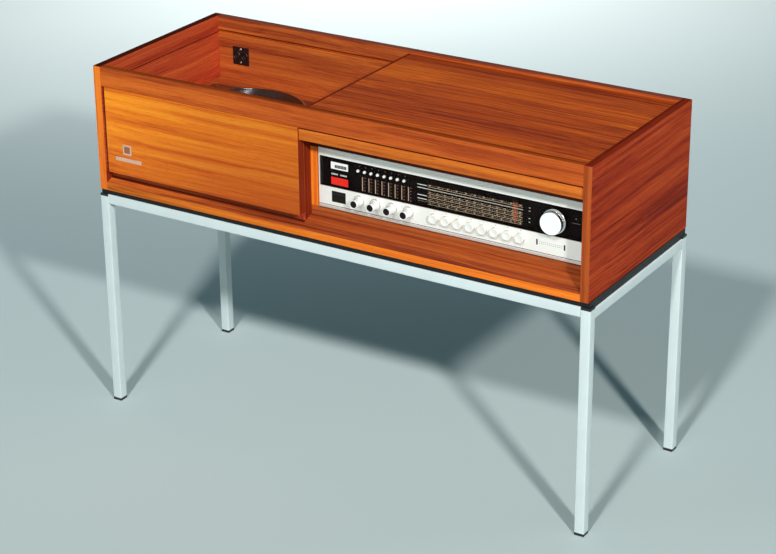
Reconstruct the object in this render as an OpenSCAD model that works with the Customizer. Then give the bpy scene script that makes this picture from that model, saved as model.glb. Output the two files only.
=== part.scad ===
// Music center: a walnut case on a square tube frame, with a stereo receiver in a recess
// at the right and a record player under a sliding lid at the left.
// Origin at floor level under the centre of the case, +X to the right, +Y to the back, +Z up.

/* [Case] */
// Outside depth of the case, front to back
case_d = 412; // [404:2:460]
// Outside height of the case
case_h = 260; // [256:2:300]
// Thickness of the two side panels
side_t = 17; // [14:1:22]
// Thickness of the back panel
back_t = 16; // [13:1:20]
// Thickness of the upright between the two bays
partition_t = 16; // [12:1:22]
// Thickness of the bottom board
bottom_t = 16; // [12:1:22]
// Thickness of the fixed top over the radio
top_t = 19; // [15:1:22]
// How far the fixed top lies below the rim
top_drop = 6; // [3:1:10]
// Thickness of the front top rail
rail_t = 16; // [14:1:19]
// Height of the front top rail
rail_h = 40; // [38:1:44]
// Height of the upright front lip of the bottom rail
lip_h = 16; // [12:1:20]
// Height of the bottom rail where its slope ends
sill_h = 33; // [28:1:38]
// Depth of the bottom rail, front to back
sill_d = 60; // [58:1:80]
// Width of the small chamfer on the lip
lip_chamfer = 1.5; // [0.5:0.5:3]

/* [Record bay front] */
// Thickness of the front panel before the record bay
panel_t = 20; // [18:1:24]
// Shadow gap between the left side panel and the front panel
panel_gap_x = 7; // [4:1:12]
// Height of the front panel's lower edge above the case bottom
panel_foot = 41; // [38:1:48]
// Gap between the front panel and the top rail
panel_gap_z = 1; // [0.5:0.5:3]
// Thickness of the inner front wall of the record bay
inner_t = 16; // [12:1:18]

/* [Sliding lid] */
// Thickness of the sliding lid
lid_t = 5; // [4:0.5:7]
// Space between the fixed top and the lid below it
lid_head = 4.5; // [2:0.5:6]
// Depth of the grooves that the lid runs in
groove_d = 6; // [4:0.5:8]
// Play of the lid in its grooves on each side
lid_play = 0.25; // [0.2:0.05:0.5]
// Overlap of the closed lid under the fixed top
lid_overlap = 12; // [6:1:30]
// Width of the lid's pull strip
pull_w = 12; // [10:1:18]
// Height of the pull strip above the lid
pull_h = 13; // [10:1:16]
// Radius of the finger groove along the pull strip
pull_groove_r = 3; // [2:0.5:4]
// Distance from the radio bay's left wall to the fixed top's left edge
top_edge_in = 4; // [1:1:10]
// Gap under the lid where it passes over the walls
lid_clear = 1; // [0.5:0.5:2]

/* [Radio bay] */
// Depth of the recess before the radio surround
recess_d = 42; // [36:1:46]
// Width of the wooden strips round the radio fascia
surround_w = 15; // [10:1:20]
// Thickness of the radio surround, front to back
surround_t = 18; // [12:1:22]
// Height of the header strip over the recess
header_h = 22; // [14:1:24]
// Thickness of the header strip
header_t = 16; // [10:1:20]
// How far the header strip is set back
header_set = 4; // [2:1:8]
// Shadow gap between the header strip and the top rail
header_gap = 4; // [2:1:6]
// Thickness of the soffit behind the header strip
soffit_t = 6; // [4:1:8]

/* [Fascia] */
// Width of the radio fascia
fascia_w = 565; // [545:5:620]
// Thickness of the fascia plate
fascia_t = 2; // [1.5:0.5:3]
// Gap between the fascia and the wooden surround
fascia_gap = 2; // [1:0.5:3]
// How far the fascia lies behind the face of the surround
fascia_set = 2; // [1:0.5:4]
// Height of the bright strip along the foot of the fascia
base_band_h = 6.5; // [5:0.5:8]
// How far the bright strip stands proud
base_bead = 1; // [0.5:0.5:2]
// Height of the light control panel
panel_band_h = 37.5; // [34:0.5:42]
// Height of the black dial glass
glass_h = 60.5; // [56:0.5:64]
// Height of the bright strip above the glass
top_band_h = 16; // [10:0.5:18]
// Width of the fascia's end strips beside the glass
end_strip = 2; // [1.5:0.5:4]
// Clearance round the glass and the windows
window_play = 0.3; // [0.2:0.1:0.5]
// Space between the fascia and the dial's back wall
dial_depth = 8; // [7:0.5:12]

/* [Receiver] */
// Thickness of the chassis sheet
sheet_t = 1.5; // [1:0.25:2.5]
// How much narrower than the fascia the chassis is, at each end
chassis_in = 2; // [1:0.5:4]
// How far the chassis floor lies above the fascia's foot
chassis_lift = 1.5; // [1:0.5:3]
// How far the chassis walls stay below the fascia's head
chassis_low = 4; // [2:1:10]
// Space between the chassis and the back panel
chassis_gap = 8; // [6:1:20]
// Width of the two bearers under the chassis
bearer_w = 22; // [15:1:30]
// Distance of each bearer from the end of the chassis
bearer_in = 60; // [30:5:120]
// Width of the circuit board
board_w = 380; // [300:10:400]
// Depth of the circuit board
board_d = 220; // [160:10:240]
// Thickness of the circuit board
board_t = 1.6; // [1.2:0.4:2.4]
// Height of the stand-offs under the circuit board
standoff_h = 14; // [8:1:20]
// Radius of the stand-offs
standoff_r = 3; // [2.5:0.5:4]
// Distance of the stand-offs from the board's edges
standoff_in = 8; // [6:1:14]
// Distance from the chassis' left end to the circuit board
board_in = 24; // [12:2:40]
// Distance from the dial's back wall to the circuit board
board_back = 24; // [16:2:40]
// Width of the transformer's core
core_w = 70; // [60:2:80]
// Depth of the transformer's core
core_d = 58; // [50:2:70]
// Height of the transformer's core
core_h = 56; // [46:2:66]
// Thickness of the transformer's core stack
core_stack = 30; // [24:2:36]
// Distance of the transformer from the chassis' right end
core_in = 40; // [20:2:60]
// Width of the core beside and above the winding
core_limb = 12; // [8:1:16]
// Radius of the large capacitors
cap_r = 11; // [8:1:14]
// Height of the large capacitors
cap_h = 28; // [20:1:36]
// Size of the coil cans
coil_can = 14; // [10:1:18]
// Pitch of the capacitors and of the coil cans
can_pitch = 56; // [40:2:60]
// Depth of the heat sink along the board's back edge
sink_d = 14; // [10:1:18]
// Width of the heat sink
sink_w = 220; // [180:10:300]

/* [Controls] */
// Running clearance round each shaft
shaft_play = 0.1; // [0.05:0.05:0.2]
// How far the shafts reach behind the dial's back wall
shaft_reach = 6; // [4:1:10]
// Radius of the four control knobs
knob_r = 10; // [8:0.5:11]
// Radius of a control knob's front rim
knob_front_r = 8.5; // [7:0.5:9.5]
// How far the control knobs stand out of the fascia
knob_out = 20; // [14:1:24]
// Radius of a control knob's dark front cap
knob_cap_r = 6.2; // [4:0.2:7]
// How far the dark cap stands out of its knob
knob_cap_out = 0.8; // [0.4:0.2:2]
// Radius of the control knob shafts
knob_shaft_r = 3; // [2.5:0.5:4]
// Distance from the fascia's left end to the first control knob
knob_in = 90; // [80:1:95]
// Pitch of the control knobs
knob_pitch = 36.3; // [32:0.1:38]
// Height of the knob and button row above the control panel's lower edge
row_up = 21; // [18:0.5:23]
// Radius of the eight push buttons
button_r = 9; // [8:0.5:10]
// How far the push buttons stand out
button_out = 8; // [6:0.5:10]
// Travel of the push buttons
button_travel = 4; // [2:0.5:5]
// Clearance round the push buttons
button_play = 0.3; // [0.2:0.1:0.5]
// Radius of the push button stems
button_stem_r = 3; // [2:0.5:4]
// Radius of the hollow in each push button's face
button_dish_r = 30; // [24:1:50]
// Depth of the hollow in each push button's face
button_dish = 0.9; // [0.4:0.1:1.2]
// Distance from the fascia's left end to the first push button
button_in = 255; // [250:1:265]
// Pitch of the push buttons
button_pitch = 26; // [23:0.5:28]
// Radius of the eight preset knobs
preset_r = 3.5; // [3:0.25:4.5]
// How far the preset knobs stand out of the glass
preset_out = 6; // [4:0.5:8]
// Radius of the preset knob shafts
preset_shaft_r = 1.5; // [1:0.25:2]
// Distance from the fascia's left end to the first preset knob
preset_in = 91; // [85:1:100]
// Pitch of the preset knobs
preset_pitch = 14.45; // [12:0.05:16]
// Height of the preset knobs above the glass's lower edge
preset_up = 46; // [40:1:50]
// Radius of the tuning knob's disc
tuning_r = 21.5; // [18:0.5:23]
// Radius of the tuning knob's flange
tuning_flange_r = 24; // [20:0.5:25]
// Thickness of the tuning knob's flange
tuning_flange_t = 4.5; // [3:0.5:6]
// How far the tuning knob stands out of the glass
tuning_out = 18; // [14:1:22]
// Radius of the tuning shaft
tuning_shaft_r = 4; // [3:0.5:5]
// Distance from the fascia's right end to the tuning knob
tuning_in = 59; // [50:1:62]
// Height of the tuning knob above the glass's lower edge
tuning_up = 30.5; // [28:0.5:33]
// Gap between a knob and the face behind it
knob_gap = 0.5; // [0.3:0.1:1]
// Distance from the fascia's right end to the right end of the dial pointer's travel
pointer_in = 124; // [110:1:140]
// How far left of that end the dial pointer stands at rest
pointer_rest = 20; // [0:1:60]
// Width of the dial pointer
pointer_w = 1.6; // [1:0.2:3]
// Height of the dial pointer
pointer_h = 48; // [40:1:52]
// Thickness of the dial pointer
pointer_t = 1.5; // [1:0.25:2]
// Thickness of the carriage that holds the pointer
carriage_t = 3.5; // [2.5:0.5:4]
// Width of the carriage
carriage_w = 14; // [10:1:20]
// Height of the carriage
carriage_h = 5; // [4:0.5:7]
// Distance from the fascia's left end to the meter window
meter_in = 29; // [24:1:34]
// Width of the meter window
meter_w = 31; // [26:1:34]
// Height of the meter window
meter_h = 22; // [18:1:25]
// Height of the meter window above the control panel's lower edge
meter_up = 8.5; // [6:0.5:10]
// How far the meter window lies behind the face of the fascia
meter_set = 0.5; // [0.3:0.1:1]
// Width and thickness of the flange behind the meter window
meter_flange = 2; // [1:0.5:3]
// Distance from the fascia's left end to the plate and the red lens
lens_in = 28; // [20:1:34]
// Width of the blank plate and the red lens
lens_w = 38; // [30:1:44]
// Height of the red lens
lens_h = 15; // [12:0.5:17]
// Height of the red lens above the glass's lower edge
lens_up = 6.5; // [4:0.5:8]
// Height of the blank plate
plate_h = 14; // [10:0.5:16]
// Height of the blank plate above the glass's lower edge
plate_up = 38; // [32:0.5:42]
// Thickness of the blank plate and the red lens
lens_t = 0.6; // [0.4:0.1:1]

/* [Back] */
// Distance from the radio bay's walls to the rear cover
cover_in = 10; // [6:1:20]
// Thickness of the rear cover
cover_t = 4; // [3:0.5:6]
// Width of the rebate that the rear cover lies in
rebate_w = 10; // [6:1:14]
// Height of the rear cover's lower edge above the case bottom
cover_foot = 26; // [22:1:34]
// Height of the rear cover
cover_h = 178; // [160:2:184]
// Clearance round the rear cover
cover_play = 0.5; // [0.3:0.1:1]
// Number of vent slots in each row of the rear cover
slots = 22; // [16:1:26]
// Width of a vent slot
slot_w = 4; // [3:0.5:6]
// Height of a vent slot
slot_h = 40; // [20:2:44]
// Pitch of the vent slots
slot_pitch = 20; // [16:0.5:20.5]
// Width of the connector plate on the receiver's back
ports_w = 190; // [170:5:220]
// Height of the connector plate
ports_h = 30; // [26:1:34]
// Thickness of the connector plates
ports_t = 2.5; // [2:0.5:4]
// Distance from the chassis' left end to the connector plate
ports_in = 40; // [20:2:60]
// Height of the connector plate above the chassis floor
ports_up = 10; // [6:1:14]
// Radius of the round sockets
socket_r = 7; // [6:0.5:8]
// Pitch of the round sockets
socket_pitch = 26; // [22:1:30]
// Pitch of the two sockets in the record bay
socket_pair = 20; // [17:1:24]
// Thickness left behind the mains inlet's recess
inlet_floor = 1; // [0.6:0.2:1.4]
// Width of the mains inlet
inlet_w = 24; // [20:1:28]
// Height of the mains inlet
inlet_h = 14; // [12:1:18]
// Radius of the mains inlet's pins
inlet_pin_r = 1.5; // [1:0.25:2]
// Spacing of the mains inlet's pins
inlet_pin_pitch = 9; // [8:0.5:11]
// Width of the socket plate on the record bay's back wall
outlet_w = 39; // [38:1:50]
// Height of that socket plate
outlet_h = 38; // [34:1:54]
// Distance of that socket plate from the bay's left wall
outlet_in = 38; // [20:1:60]
// Distance of that socket plate below the rim
outlet_drop = 60.5; // [50:0.5:66]

/* [Record player] */
// Width of the record bay between its walls
bay_w = 451; // [446:1:500]
// Distance from the rim to the top of the deck board
deck_drop = 134; // [126:1:140]
// Thickness of the deck board
deck_t = 12; // [10:1:16]
// Play between the deck board and the bay's walls
deck_play = 1; // [0.5:0.5:2]
// Width of the battens under the deck board
batten_w = 18; // [12:1:24]
// Height of the battens under the deck board
batten_h = 20; // [14:1:26]
// Width of the player's base plate
plate_w = 400; // [394:1:410]
// Gap between the bay's front wall and the player's base plate
plate_gap = 17.5; // [12:0.5:20]
// Gap between the player's base plate and the bay's back wall
plate_gap_back = 49.5; // [44:0.5:54]
// Thickness of the player's base plate
plate_t = 4; // [3:0.5:6]
// Corner radius of the player's base plate
plate_r = 14; // [6:1:24]
// How much narrower than the plate the deck cut-out is, on each side
cutout_in = 22; // [16:1:28]
// How far the platter's centre lies left of the plate's centre
platter_left = 27.5; // [25:0.5:30]
// How far the platter's centre lies in from the plate's front edge
platter_in = 136.5; // [135:0.5:140]
// Radius of the platter
platter_r = 135; // [130:1:136]
// Height of the platter's rim
platter_h = 16; // [14:1:20]
// Thickness of the platter's wall
platter_wall = 7; // [5:0.5:9]
// Thickness of the platter's web
platter_web = 4; // [3:0.5:4.5]
// Chamfer on the platter's upper edge
rim_chamfer = 1; // [0.5:0.25:1.5]
// Gap between the platter's rim and the base plate
platter_lift = 3; // [2:0.5:5]
// Radius of the platter's hub
hub_r = 20; // [16:1:26]
// Radius of the rubber mat
mat_r = 130; // [124:1:134]
// Thickness of the rubber mat
mat_t = 4; // [3:0.5:5]
// How deep the mat lies in the platter
mat_sunk = 3; // [2:0.5:3.5]
// Clearance round the mat and in its centre hole
mat_play = 0.3; // [0.2:0.1:0.5]
// Radius of the bearing post in the platter
post_r = 8; // [6:0.5:10]
// Running clearance of the platter on its post
post_play = 0.05; // [0.02:0.01:0.09]
// Radius of the record spindle
spindle_r = 3.6; // [3.5:0.05:3.62]
// Height of the spindle's straight part above the mat
spindle_h = 17; // [12:1:24]
// Radius of the thrust flange under the hub
flange_r = 16; // [12:1:19]
// Thickness of the thrust flange
flange_t = 2; // [1.5:0.5:3]
// Radius of the bearing stem through the base plate
stem_r = 6; // [4:0.5:8]
// Length of the bearing stem below the base plate
stem_len = 16; // [10:1:24]

/* [Platter drive] */
// Direction of the motor from the platter's centre, in degrees from +X
drive_angle = 130; // [100:5:170]
// Radius of the idler wheel
idler_r = 18; // [14:1:20]
// Thickness of the idler wheel
idler_t = 5; // [4:0.5:6]
// Radius of the idler's axle
idler_axle_r = 2; // [1.5:0.25:3]
// Radius of the motor pulley
pulley_r = 3; // [2.5:0.25:5]
// How far the motor pulley stands above and below the idler
pulley_lip = 1; // [0.5:0.5:1.5]
// Height of the idler wheel above the base plate
idler_up = 4; // [3:0.5:5]
// Clearance round the pulley in the base plate
pulley_hole = 1; // [0.5:0.5:2]
// Gap between the drive wheels
drive_gap = 0.3; // [0.2:0.1:0.5]
// Radius of the motor shaft
motor_shaft_r = 2; // [1.5:0.25:2.4]
// Radius of the motor can
motor_r = 30; // [24:1:34]
// Height of the motor can
motor_h = 44; // [34:2:52]
// Height of the posts that hang the motor from the base plate
motor_post_h = 10; // [6:1:14]
// Radius of the motor posts
motor_post_r = 3.5; // [2.5:0.5:5]
// Distance of the motor posts from the motor's axis
motor_post_pcd_r = 24; // [20:1:25]

/* [Tonearm] */
// How far the tonearm pivot lies right of the plate's centre
pivot_right = 157; // [152:1:162]
// How far the tonearm pivot lies in from the plate's back edge
pivot_in = 26.5; // [24:0.5:34]
// Radius of the tonearm's pedestal foot
pedestal_r = 22; // [18:1:24]
// Thickness of the pedestal foot
pedestal_foot = 5; // [4:1:8]
// Radius of the pedestal column
column_r = 13; // [10:0.5:15]
// Height of the pedestal
pedestal_h = 18; // [14:1:20]
// Radius of the swivel shaft
swivel_r = 5; // [4:0.5:6]
// Length of the swivel shaft
swivel_len = 14; // [10:1:14]
// Thickness of the swivel's base
swivel_base = 5; // [4:0.5:7]
// Distance between the swivel's cheeks
cheek_gap = 19; // [17:0.5:21]
// Thickness of the swivel's cheeks
cheek_t = 3; // [2.5:0.5:4]
// Width of the swivel's cheeks, front to back
cheek_w = 12; // [10:1:16]
// Height of the tonearm's tilt axis above the base plate
arm_up = 36; // [35:1:40]
// Radius of the tilt pin
tilt_pin_r = 1.5; // [1.25:0.25:2]
// Radius of the arm tube
arm_r = 4.5; // [3.5:0.5:5]
// Distance from the pivot to the end of the arm tube
arm_len = 200; // [190:1:206]
// Length of the arm behind the pivot
arm_tail = 50; // [44:1:54]
// Radius of the counterweight
weight_r = 13; // [11:0.5:14]
// Length of the counterweight
weight_len = 26; // [20:1:30]
// Length of the head shell
shell_len = 42; // [38:1:48]
// Width of the head shell
shell_w = 18; // [15:1:20]
// Thickness of the head shell's roof
shell_t = 2.5; // [2:0.5:3.5]
// Wall of the head shell round the arm tube
shell_wall = 1.5; // [1:0.25:2]
// Width of the pickup cartridge
pickup_w = 12; // [10:1:14]
// Length of the pickup cartridge
pickup_len = 24; // [20:1:28]
// Gap between the stylus and the mat, the thickness of a record
stylus_gap = 2; // [1.5:0.5:3]
// Length of the stylus
stylus_h = 2; // [1.5:0.5:3]
// Radius of the stylus at its root
stylus_r = 1; // [0.8:0.1:1.4]
// Radius of the arm rest's post
rest_r = 4; // [3:0.5:5]
// Distance from the pivot to the arm rest
rest_reach = 120; // [100:5:140]
// Gap between the arm tube and its rest
rest_gap = 0.3; // [0.2:0.1:0.5]

/* [Player levers] */
// Radius of a lever's disc
lever_r = 11; // [9:0.5:12]
// Thickness of a lever's disc
lever_t = 4; // [3:0.5:6]
// Reach of a lever's handle from its axis
lever_reach = 26; // [20:1:28]
// Width of a lever's handle
lever_w = 6; // [5:0.5:8]
// Radius of a lever's shaft
lever_shaft_r = 3; // [2.5:0.5:4]
// Height of a lever's handle above its disc
handle_h = 5; // [3:0.5:8]
// How far the player's shafts reach below the base plate
shaft_drop = 4; // [2:0.5:8]
// Running clearance of the player's shafts
pin_play = 0.05; // [0.03:0.01:0.09]
// How far the speed lever lies right of the plate's centre
speed_right = 120; // [116:1:124]
// How far the start lever lies right of the plate's centre
start_right = 78; // [74:1:84]
// Distance of the levers from the plate's front edge
lever_in = 30; // [29:1:34]

/* [Frame] */
// Height of the long rails' top face above the floor
frame_h = 467; // [380:1:560]
// Outside width of the square tube
tube = 20; // [18:1:25]
// Wall thickness of the square tube
tube_wall = 1.5; // [1:0.25:2.5]
// How far the long rails stand above the legs and the side rails
rail_lift = 5; // [3:1:8]
// How far the frame stands out beyond the case at each side
frame_out = 4; // [0:1:8]
// How far the frame lies behind the case's front face
frame_in = 2; // [0:1:6]
// Height of the black plinth between frame and case
plinth_h = 11; // [8:1:16]
// How far the plinth lies inside the frame's outer faces
plinth_in = 3; // [2:1:6]
// Width of the plinth's boards
plinth_w = 42; // [40:1:60]
// Height of the feet under the legs
foot_h = 6; // [4:1:12]
// Length of the plugs inside the tubes
plug_len = 15; // [10:1:25]
// Clearance of the plugs in the tubes
plug_play = 0.15; // [0.1:0.05:0.3]
// Length of the lugs behind the long rails
lug_d = 24; // [20:1:28]
// Width of the lugs
lug_w = 30; // [24:1:40]
// Thickness of the lugs
lug_t = 3; // [2:0.5:4]
// Distance of the lugs from the case's ends
lug_in = 120; // [90:5:200]
// Radius of the frame screws
screw_r = 2.5; // [2:0.25:3]
// Radius of the frame screws' heads
screw_head_r = 5; // [4:0.5:6]
// Height of the frame screws' heads
screw_head_h = 3; // [2:0.5:4]
// How far the frame screws reach into the case
screw_bite = 11; // [8:1:11]
// Clearance round the frame screws
screw_play = 0.1; // [0.05:0.05:0.3]

/* [Hidden] */
$fn = 64;
EPS = 0.01;
FIXED_NODES = [
    "side_panels", "back_panel", "bottom_board", "bottom_rail", "top_rail", "front_panel",
    "inner_front_wall", "partition", "fixed_top", "radio_surround", "plinth", "legs", "frame_rails",
    "tube_caps", "frame_screws", "rear_cover", "socket_plates", "receiver_chassis", "fascia_plate",
    "dial_glass", "fascia_windows", "circuit_board", "power_transformer", "deck_board",
    "player_plate", "spindle", "motor", "arm_pedestal"
];
MOVING_NODES = [
    "lid", "platter", "platter_mat", "idler_wheel", "motor_pulley", "arm_swivel", "tonearm",
    "headshell", "speed_lever", "start_lever", "dial_pointer", "tuning_knob"
];
KNOBS = 4;
BUTTONS = 8;
PRESETS = 8;

// Colours
wood_front = [0.86, 0.47, 0.16];
wood_top = [0.66, 0.31, 0.14];
wood_side = [0.60, 0.25, 0.12];
wood_dark = [0.45, 0.19, 0.09];
steel_paint = [0.84, 0.87, 0.87];
black = [0.06, 0.06, 0.07];
silver = [0.90, 0.90, 0.88];
grey_metal = [0.62, 0.63, 0.64];
deck_grey = [0.30, 0.31, 0.32];
rubber = [0.10, 0.10, 0.11];
white = [0.96, 0.96, 0.94];
red = [0.90, 0.14, 0.10];
orange = [0.95, 0.40, 0.12];
board_green = [0.16, 0.36, 0.20];
copper = [0.70, 0.38, 0.20];

// Widths and planes across the case
radio_w = fascia_w + 2 * (surround_w + fascia_gap);
case_w = 2 * side_t + bay_w + partition_t + radio_w;
x_case = [-case_w / 2, case_w / 2];
x_bay = [x_case[0] + side_t, x_case[0] + side_t + bay_w];
x_radio = [x_bay[1] + partition_t, x_bay[1] + partition_t + radio_w];
x_inside = [x_bay[0], x_radio[1]];
x_fascia = [x_radio[0] + surround_w + fascia_gap, x_radio[1] - surround_w - fascia_gap];

// Planes from front to back
y_front = -case_d / 2;
y_back = case_d / 2;
y_wall = y_back - back_t;
y_rail = y_front + rail_t;
y_panel = y_front + panel_t;
y_inner = y_panel + inner_t;
y_recess = y_front + recess_d;
y_fascia = y_recess + fascia_set;
y_dial = y_fascia + fascia_t + dial_depth;
y_sill = y_front + sill_d;

// Levels
z_frame = frame_h;
z_side_rail = frame_h - rail_lift;
z_case = frame_h + plinth_h;
z_rim = z_case + case_h;
z_top_under = z_rim - top_drop - top_t;
z_lid = [z_top_under - lid_head - lid_t, z_top_under - lid_head];
z_wall_top = z_lid[0] - lid_clear;
z_rail = z_rim - rail_h;
z_header = [z_rail - header_gap - header_h, z_rail - header_gap];
z_fascia = z_case + sill_h + surround_w + fascia_gap;
z_panel_band = z_fascia + base_band_h;
z_glass = z_panel_band + panel_band_h;
z_fascia_top = z_glass + glass_h + top_band_h;
z_row = z_panel_band + row_up;

// Sliding lid
x_top_edge = x_radio[0] + top_edge_in;
x_pull = [x_top_edge - lid_play - pull_w, x_top_edge - lid_play];
lid_len = x_top_edge + lid_overlap - x_bay[0] - lid_clear;
y_lid = [y_rail - groove_d + lid_play, y_wall + groove_d - lid_play];

// Receiver
x_chassis = [x_fascia[0] + chassis_in, x_fascia[1] - chassis_in];
y_chassis = [y_fascia + fascia_t, y_wall - chassis_gap];
z_chassis = [z_fascia + chassis_lift, z_fascia_top - chassis_low];
z_floor = z_chassis[0] + sheet_t;
y_shaft_end = y_dial + sheet_t + shaft_reach;

// Record player
x_plate = (x_bay[0] + x_bay[1]) / 2;
plate_d = y_wall - y_inner - plate_gap - plate_gap_back;
y_plate = y_inner + plate_gap + plate_d / 2;
z_deck = z_rim - deck_drop;
z_plate = z_deck + plate_t;
x_platter = x_plate - platter_left;
y_platter = y_plate - plate_d / 2 + platter_in;
z_platter = [z_plate + platter_lift, z_plate + platter_lift + platter_h];
z_idler = z_plate + idler_up;
z_web = z_platter[1] - mat_sunk - platter_web;
z_mat = z_platter[1] - mat_sunk + mat_t;
groove_r = platter_r - platter_wall;
idler_reach = groove_r - idler_r - drive_gap;
pulley_reach = idler_reach - idler_r - drive_gap - pulley_r;
x_pivot = x_plate + pivot_right;
y_pivot = y_plate + plate_d / 2 - pivot_in;
z_arm = z_plate + arm_up;
z_pedestal = z_plate + pedestal_h;
head_end = arm_len + shell_len;

// Frame
x_leg = [x_case[0] - frame_out, x_case[1] + frame_out - tube];
y_leg = [y_front + frame_in, y_back - frame_in - tube];
bore_in = tube - 2 * tube_wall;
x_lug = [x_case[0] + lug_in, x_case[1] - lug_in];
y_lug = [y_leg[0] + tube, y_leg[1] - lug_d];
y_screw = [y_leg[0] + tube + lug_d / 2, y_leg[1] - lug_d / 2];

// Position of the numbered controls
function knob_x(i) = x_fascia[0] + knob_in + (i - 1) * knob_pitch;
function button_x(i) = x_fascia[0] + button_in + (i - 1) * button_pitch;
function preset_x(i) = x_fascia[0] + preset_in + (i - 1) * preset_pitch;
tuning_x = x_fascia[1] - tuning_in;
tuning_z = z_glass + tuning_up;
preset_z = z_glass + preset_up;
pointer_x = x_fascia[1] - pointer_in - pointer_rest;
z_pointer = [z_glass + (glass_h - pointer_h) / 2, z_glass + (glass_h + pointer_h) / 2];
function drive_xy(reach) = [x_platter + reach * cos(drive_angle), y_platter + reach * sin(drive_angle)];
// Height of the bottom rail's slope at a depth behind the front face
function slope_h(d) = lip_h + (sill_h - lip_h) * min(d, recess_d) / recess_d;

// A box between two corners, each given as a pair
module box(x, y, z) {
    translate([x[0], y[0], z[0]]) cube([x[1] - x[0], y[1] - y[0], z[1] - z[0]]);
}

// Round bars along each axis
module bar_x(r, x, y, z) {
    translate([x[0], y, z]) rotate([0, 90, 0]) cylinder(r = r, h = x[1] - x[0]);
}

module bar_y(r, x, y, z) {
    translate([x, y[0], z]) rotate([-90, 0, 0]) cylinder(r = r, h = y[1] - y[0]);
}

module bar_z(r, x, y, z) {
    translate([x, y, z[0]]) cylinder(r = r, h = z[1] - z[0]);
}

// A profile of depth and height points, run along X
module run_x(x, points) {
    translate([x[0], 0, 0]) rotate([90, 0, 90]) linear_extrude(x[1] - x[0]) polygon(points);
}

// The groove space that the lid's edges run in, over a stretch of X and Y
module lid_groove(x, y) {
    box(x, y, [z_lid[0] - lid_play, z_lid[1] + lid_play]);
}

// The two sides of the case
module side_panels() {
    color(wood_side)
    for (x = [x_case[0], x_case[1] - side_t])
        box([x, x + side_t], [y_front, y_back], [z_case, z_rim]);
}

// The back, with the lid's groove and a rebated hatch behind the receiver
module back_panel() {
    hatch_x = [x_radio[0] + cover_in + rebate_w, x_radio[1] - cover_in - rebate_w];
    hatch_z = [z_case + cover_foot + rebate_w, z_case + cover_foot + cover_h - rebate_w];
    color(wood_top)
    difference() {
        box(x_inside, [y_wall, y_back], [z_case, z_rim]);
        lid_groove([x_inside[0] - EPS, x_inside[1] + EPS], [y_wall - EPS, y_wall + groove_d]);
        box(hatch_x, [y_wall - 1, y_back + 1], hatch_z);
        box(
            [x_radio[0] + cover_in, x_radio[1] - cover_in],
            [y_back - cover_t, y_back + 1],
            [z_case + cover_foot, z_case + cover_foot + cover_h]
        );
    }
}

// The bottom, with two bearers that carry the receiver
module bottom_board() {
    top = z_case + bottom_t;
    color(wood_dark)
    difference() {
        union() {
            box(x_inside, [y_sill, y_wall], [z_case, top]);
            for (x = [x_chassis[0] + bearer_in, x_chassis[1] - bearer_in - bearer_w])
                box([x, x + bearer_w], [y_sill, y_wall], [z_case, z_chassis[0]]);
        }
        screw_holes(z_case, 1);
    }
}

// The sloping rail along the foot of the front
module bottom_rail() {
    color(wood_front)
    difference() {
        run_x(x_inside, [
            [y_front, z_case],
            [y_front, z_case + lip_h - lip_chamfer],
            [y_front + lip_chamfer, z_case + slope_h(lip_chamfer)],
            [y_recess, z_case + sill_h],
            [y_sill, z_case + sill_h],
            [y_sill, z_case]
        ]);
        screw_holes(z_case, 0);
    }
}

// The front rail under the rim, with the lid's groove in its back
module top_rail() {
    color(wood_front)
    difference() {
        box(x_inside, [y_front, y_rail], [z_rail, z_rim]);
        lid_groove([x_inside[0] - EPS, x_inside[1] + EPS], [y_rail - groove_d, y_rail + EPS]);
    }
}

// The proud panel before the record bay
module front_panel() {
    color(wood_front)
    box(
        [x_bay[0] + panel_gap_x, x_radio[0]],
        [y_front, y_panel],
        [z_case + panel_foot, z_rail - panel_gap_z]
    );
}

// The inner front wall of the record bay, its foot cut to the bottom rail's slope
module inner_front_wall() {
    color(wood_dark)
    run_x(x_bay, [
        [y_panel, z_case + slope_h(panel_t)],
        [y_inner, z_case + slope_h(panel_t + inner_t)],
        [y_inner, z_wall_top],
        [y_panel, z_wall_top]
    ]);
}

// The upright between the record bay and the radio bay
module partition() {
    x = [x_bay[1], x_radio[0]];
    color(wood_dark)
    union() {
        box(x, [y_sill, y_wall], [z_case + bottom_t, z_wall_top]);
        run_x(x, [
            [y_panel, z_case + slope_h(panel_t)],
            [y_recess, z_case + sill_h],
            [y_sill + EPS, z_case + sill_h],
            [y_sill + EPS, z_wall_top],
            [y_panel, z_wall_top]
        ]);
    }
}

// The fixed top over the radio bay
module fixed_top() {
    color(wood_top)
    box([x_top_edge, x_radio[1]], [y_rail, y_wall], [z_top_under, z_top_under + top_t]);
}

// The lid with its pull strip, slid open under the fixed top
module lid() {
    pull_z = z_lid[1] + pull_h;
    color(wood_top)
    union() {
        box([x_pull[0], x_pull[0] + lid_len], y_lid, z_lid);
        difference() {
            box(x_pull, [y_rail + lid_clear, y_wall - lid_clear], [z_lid[1] - EPS, pull_z]);
            bar_y(
                pull_groove_r,
                x_pull[0] - pull_groove_r / 3,
                [y_rail, y_wall],
                z_lid[1] + pull_h / 2
            );
        }
    }
}

// The header, soffit and strips round the radio fascia
module radio_surround() {
    y_header = [y_front + header_set, y_front + header_set + header_t];
    color(wood_front)
    union() {
        difference() {
            box(x_radio, [y_recess, y_recess + surround_t], [z_case + sill_h, z_header[1]]);
            box(
                [x_fascia[0] - fascia_gap, x_fascia[1] + fascia_gap],
                [y_recess - 1, y_recess + surround_t + 1],
                [z_fascia - fascia_gap, z_fascia_top + fascia_gap]
            );
        }
        box(x_radio, y_header, z_header);
        box(x_radio, [y_header[1] - EPS, y_recess + EPS], [z_header[0], z_header[0] + soffit_t]);
    }
}

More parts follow.
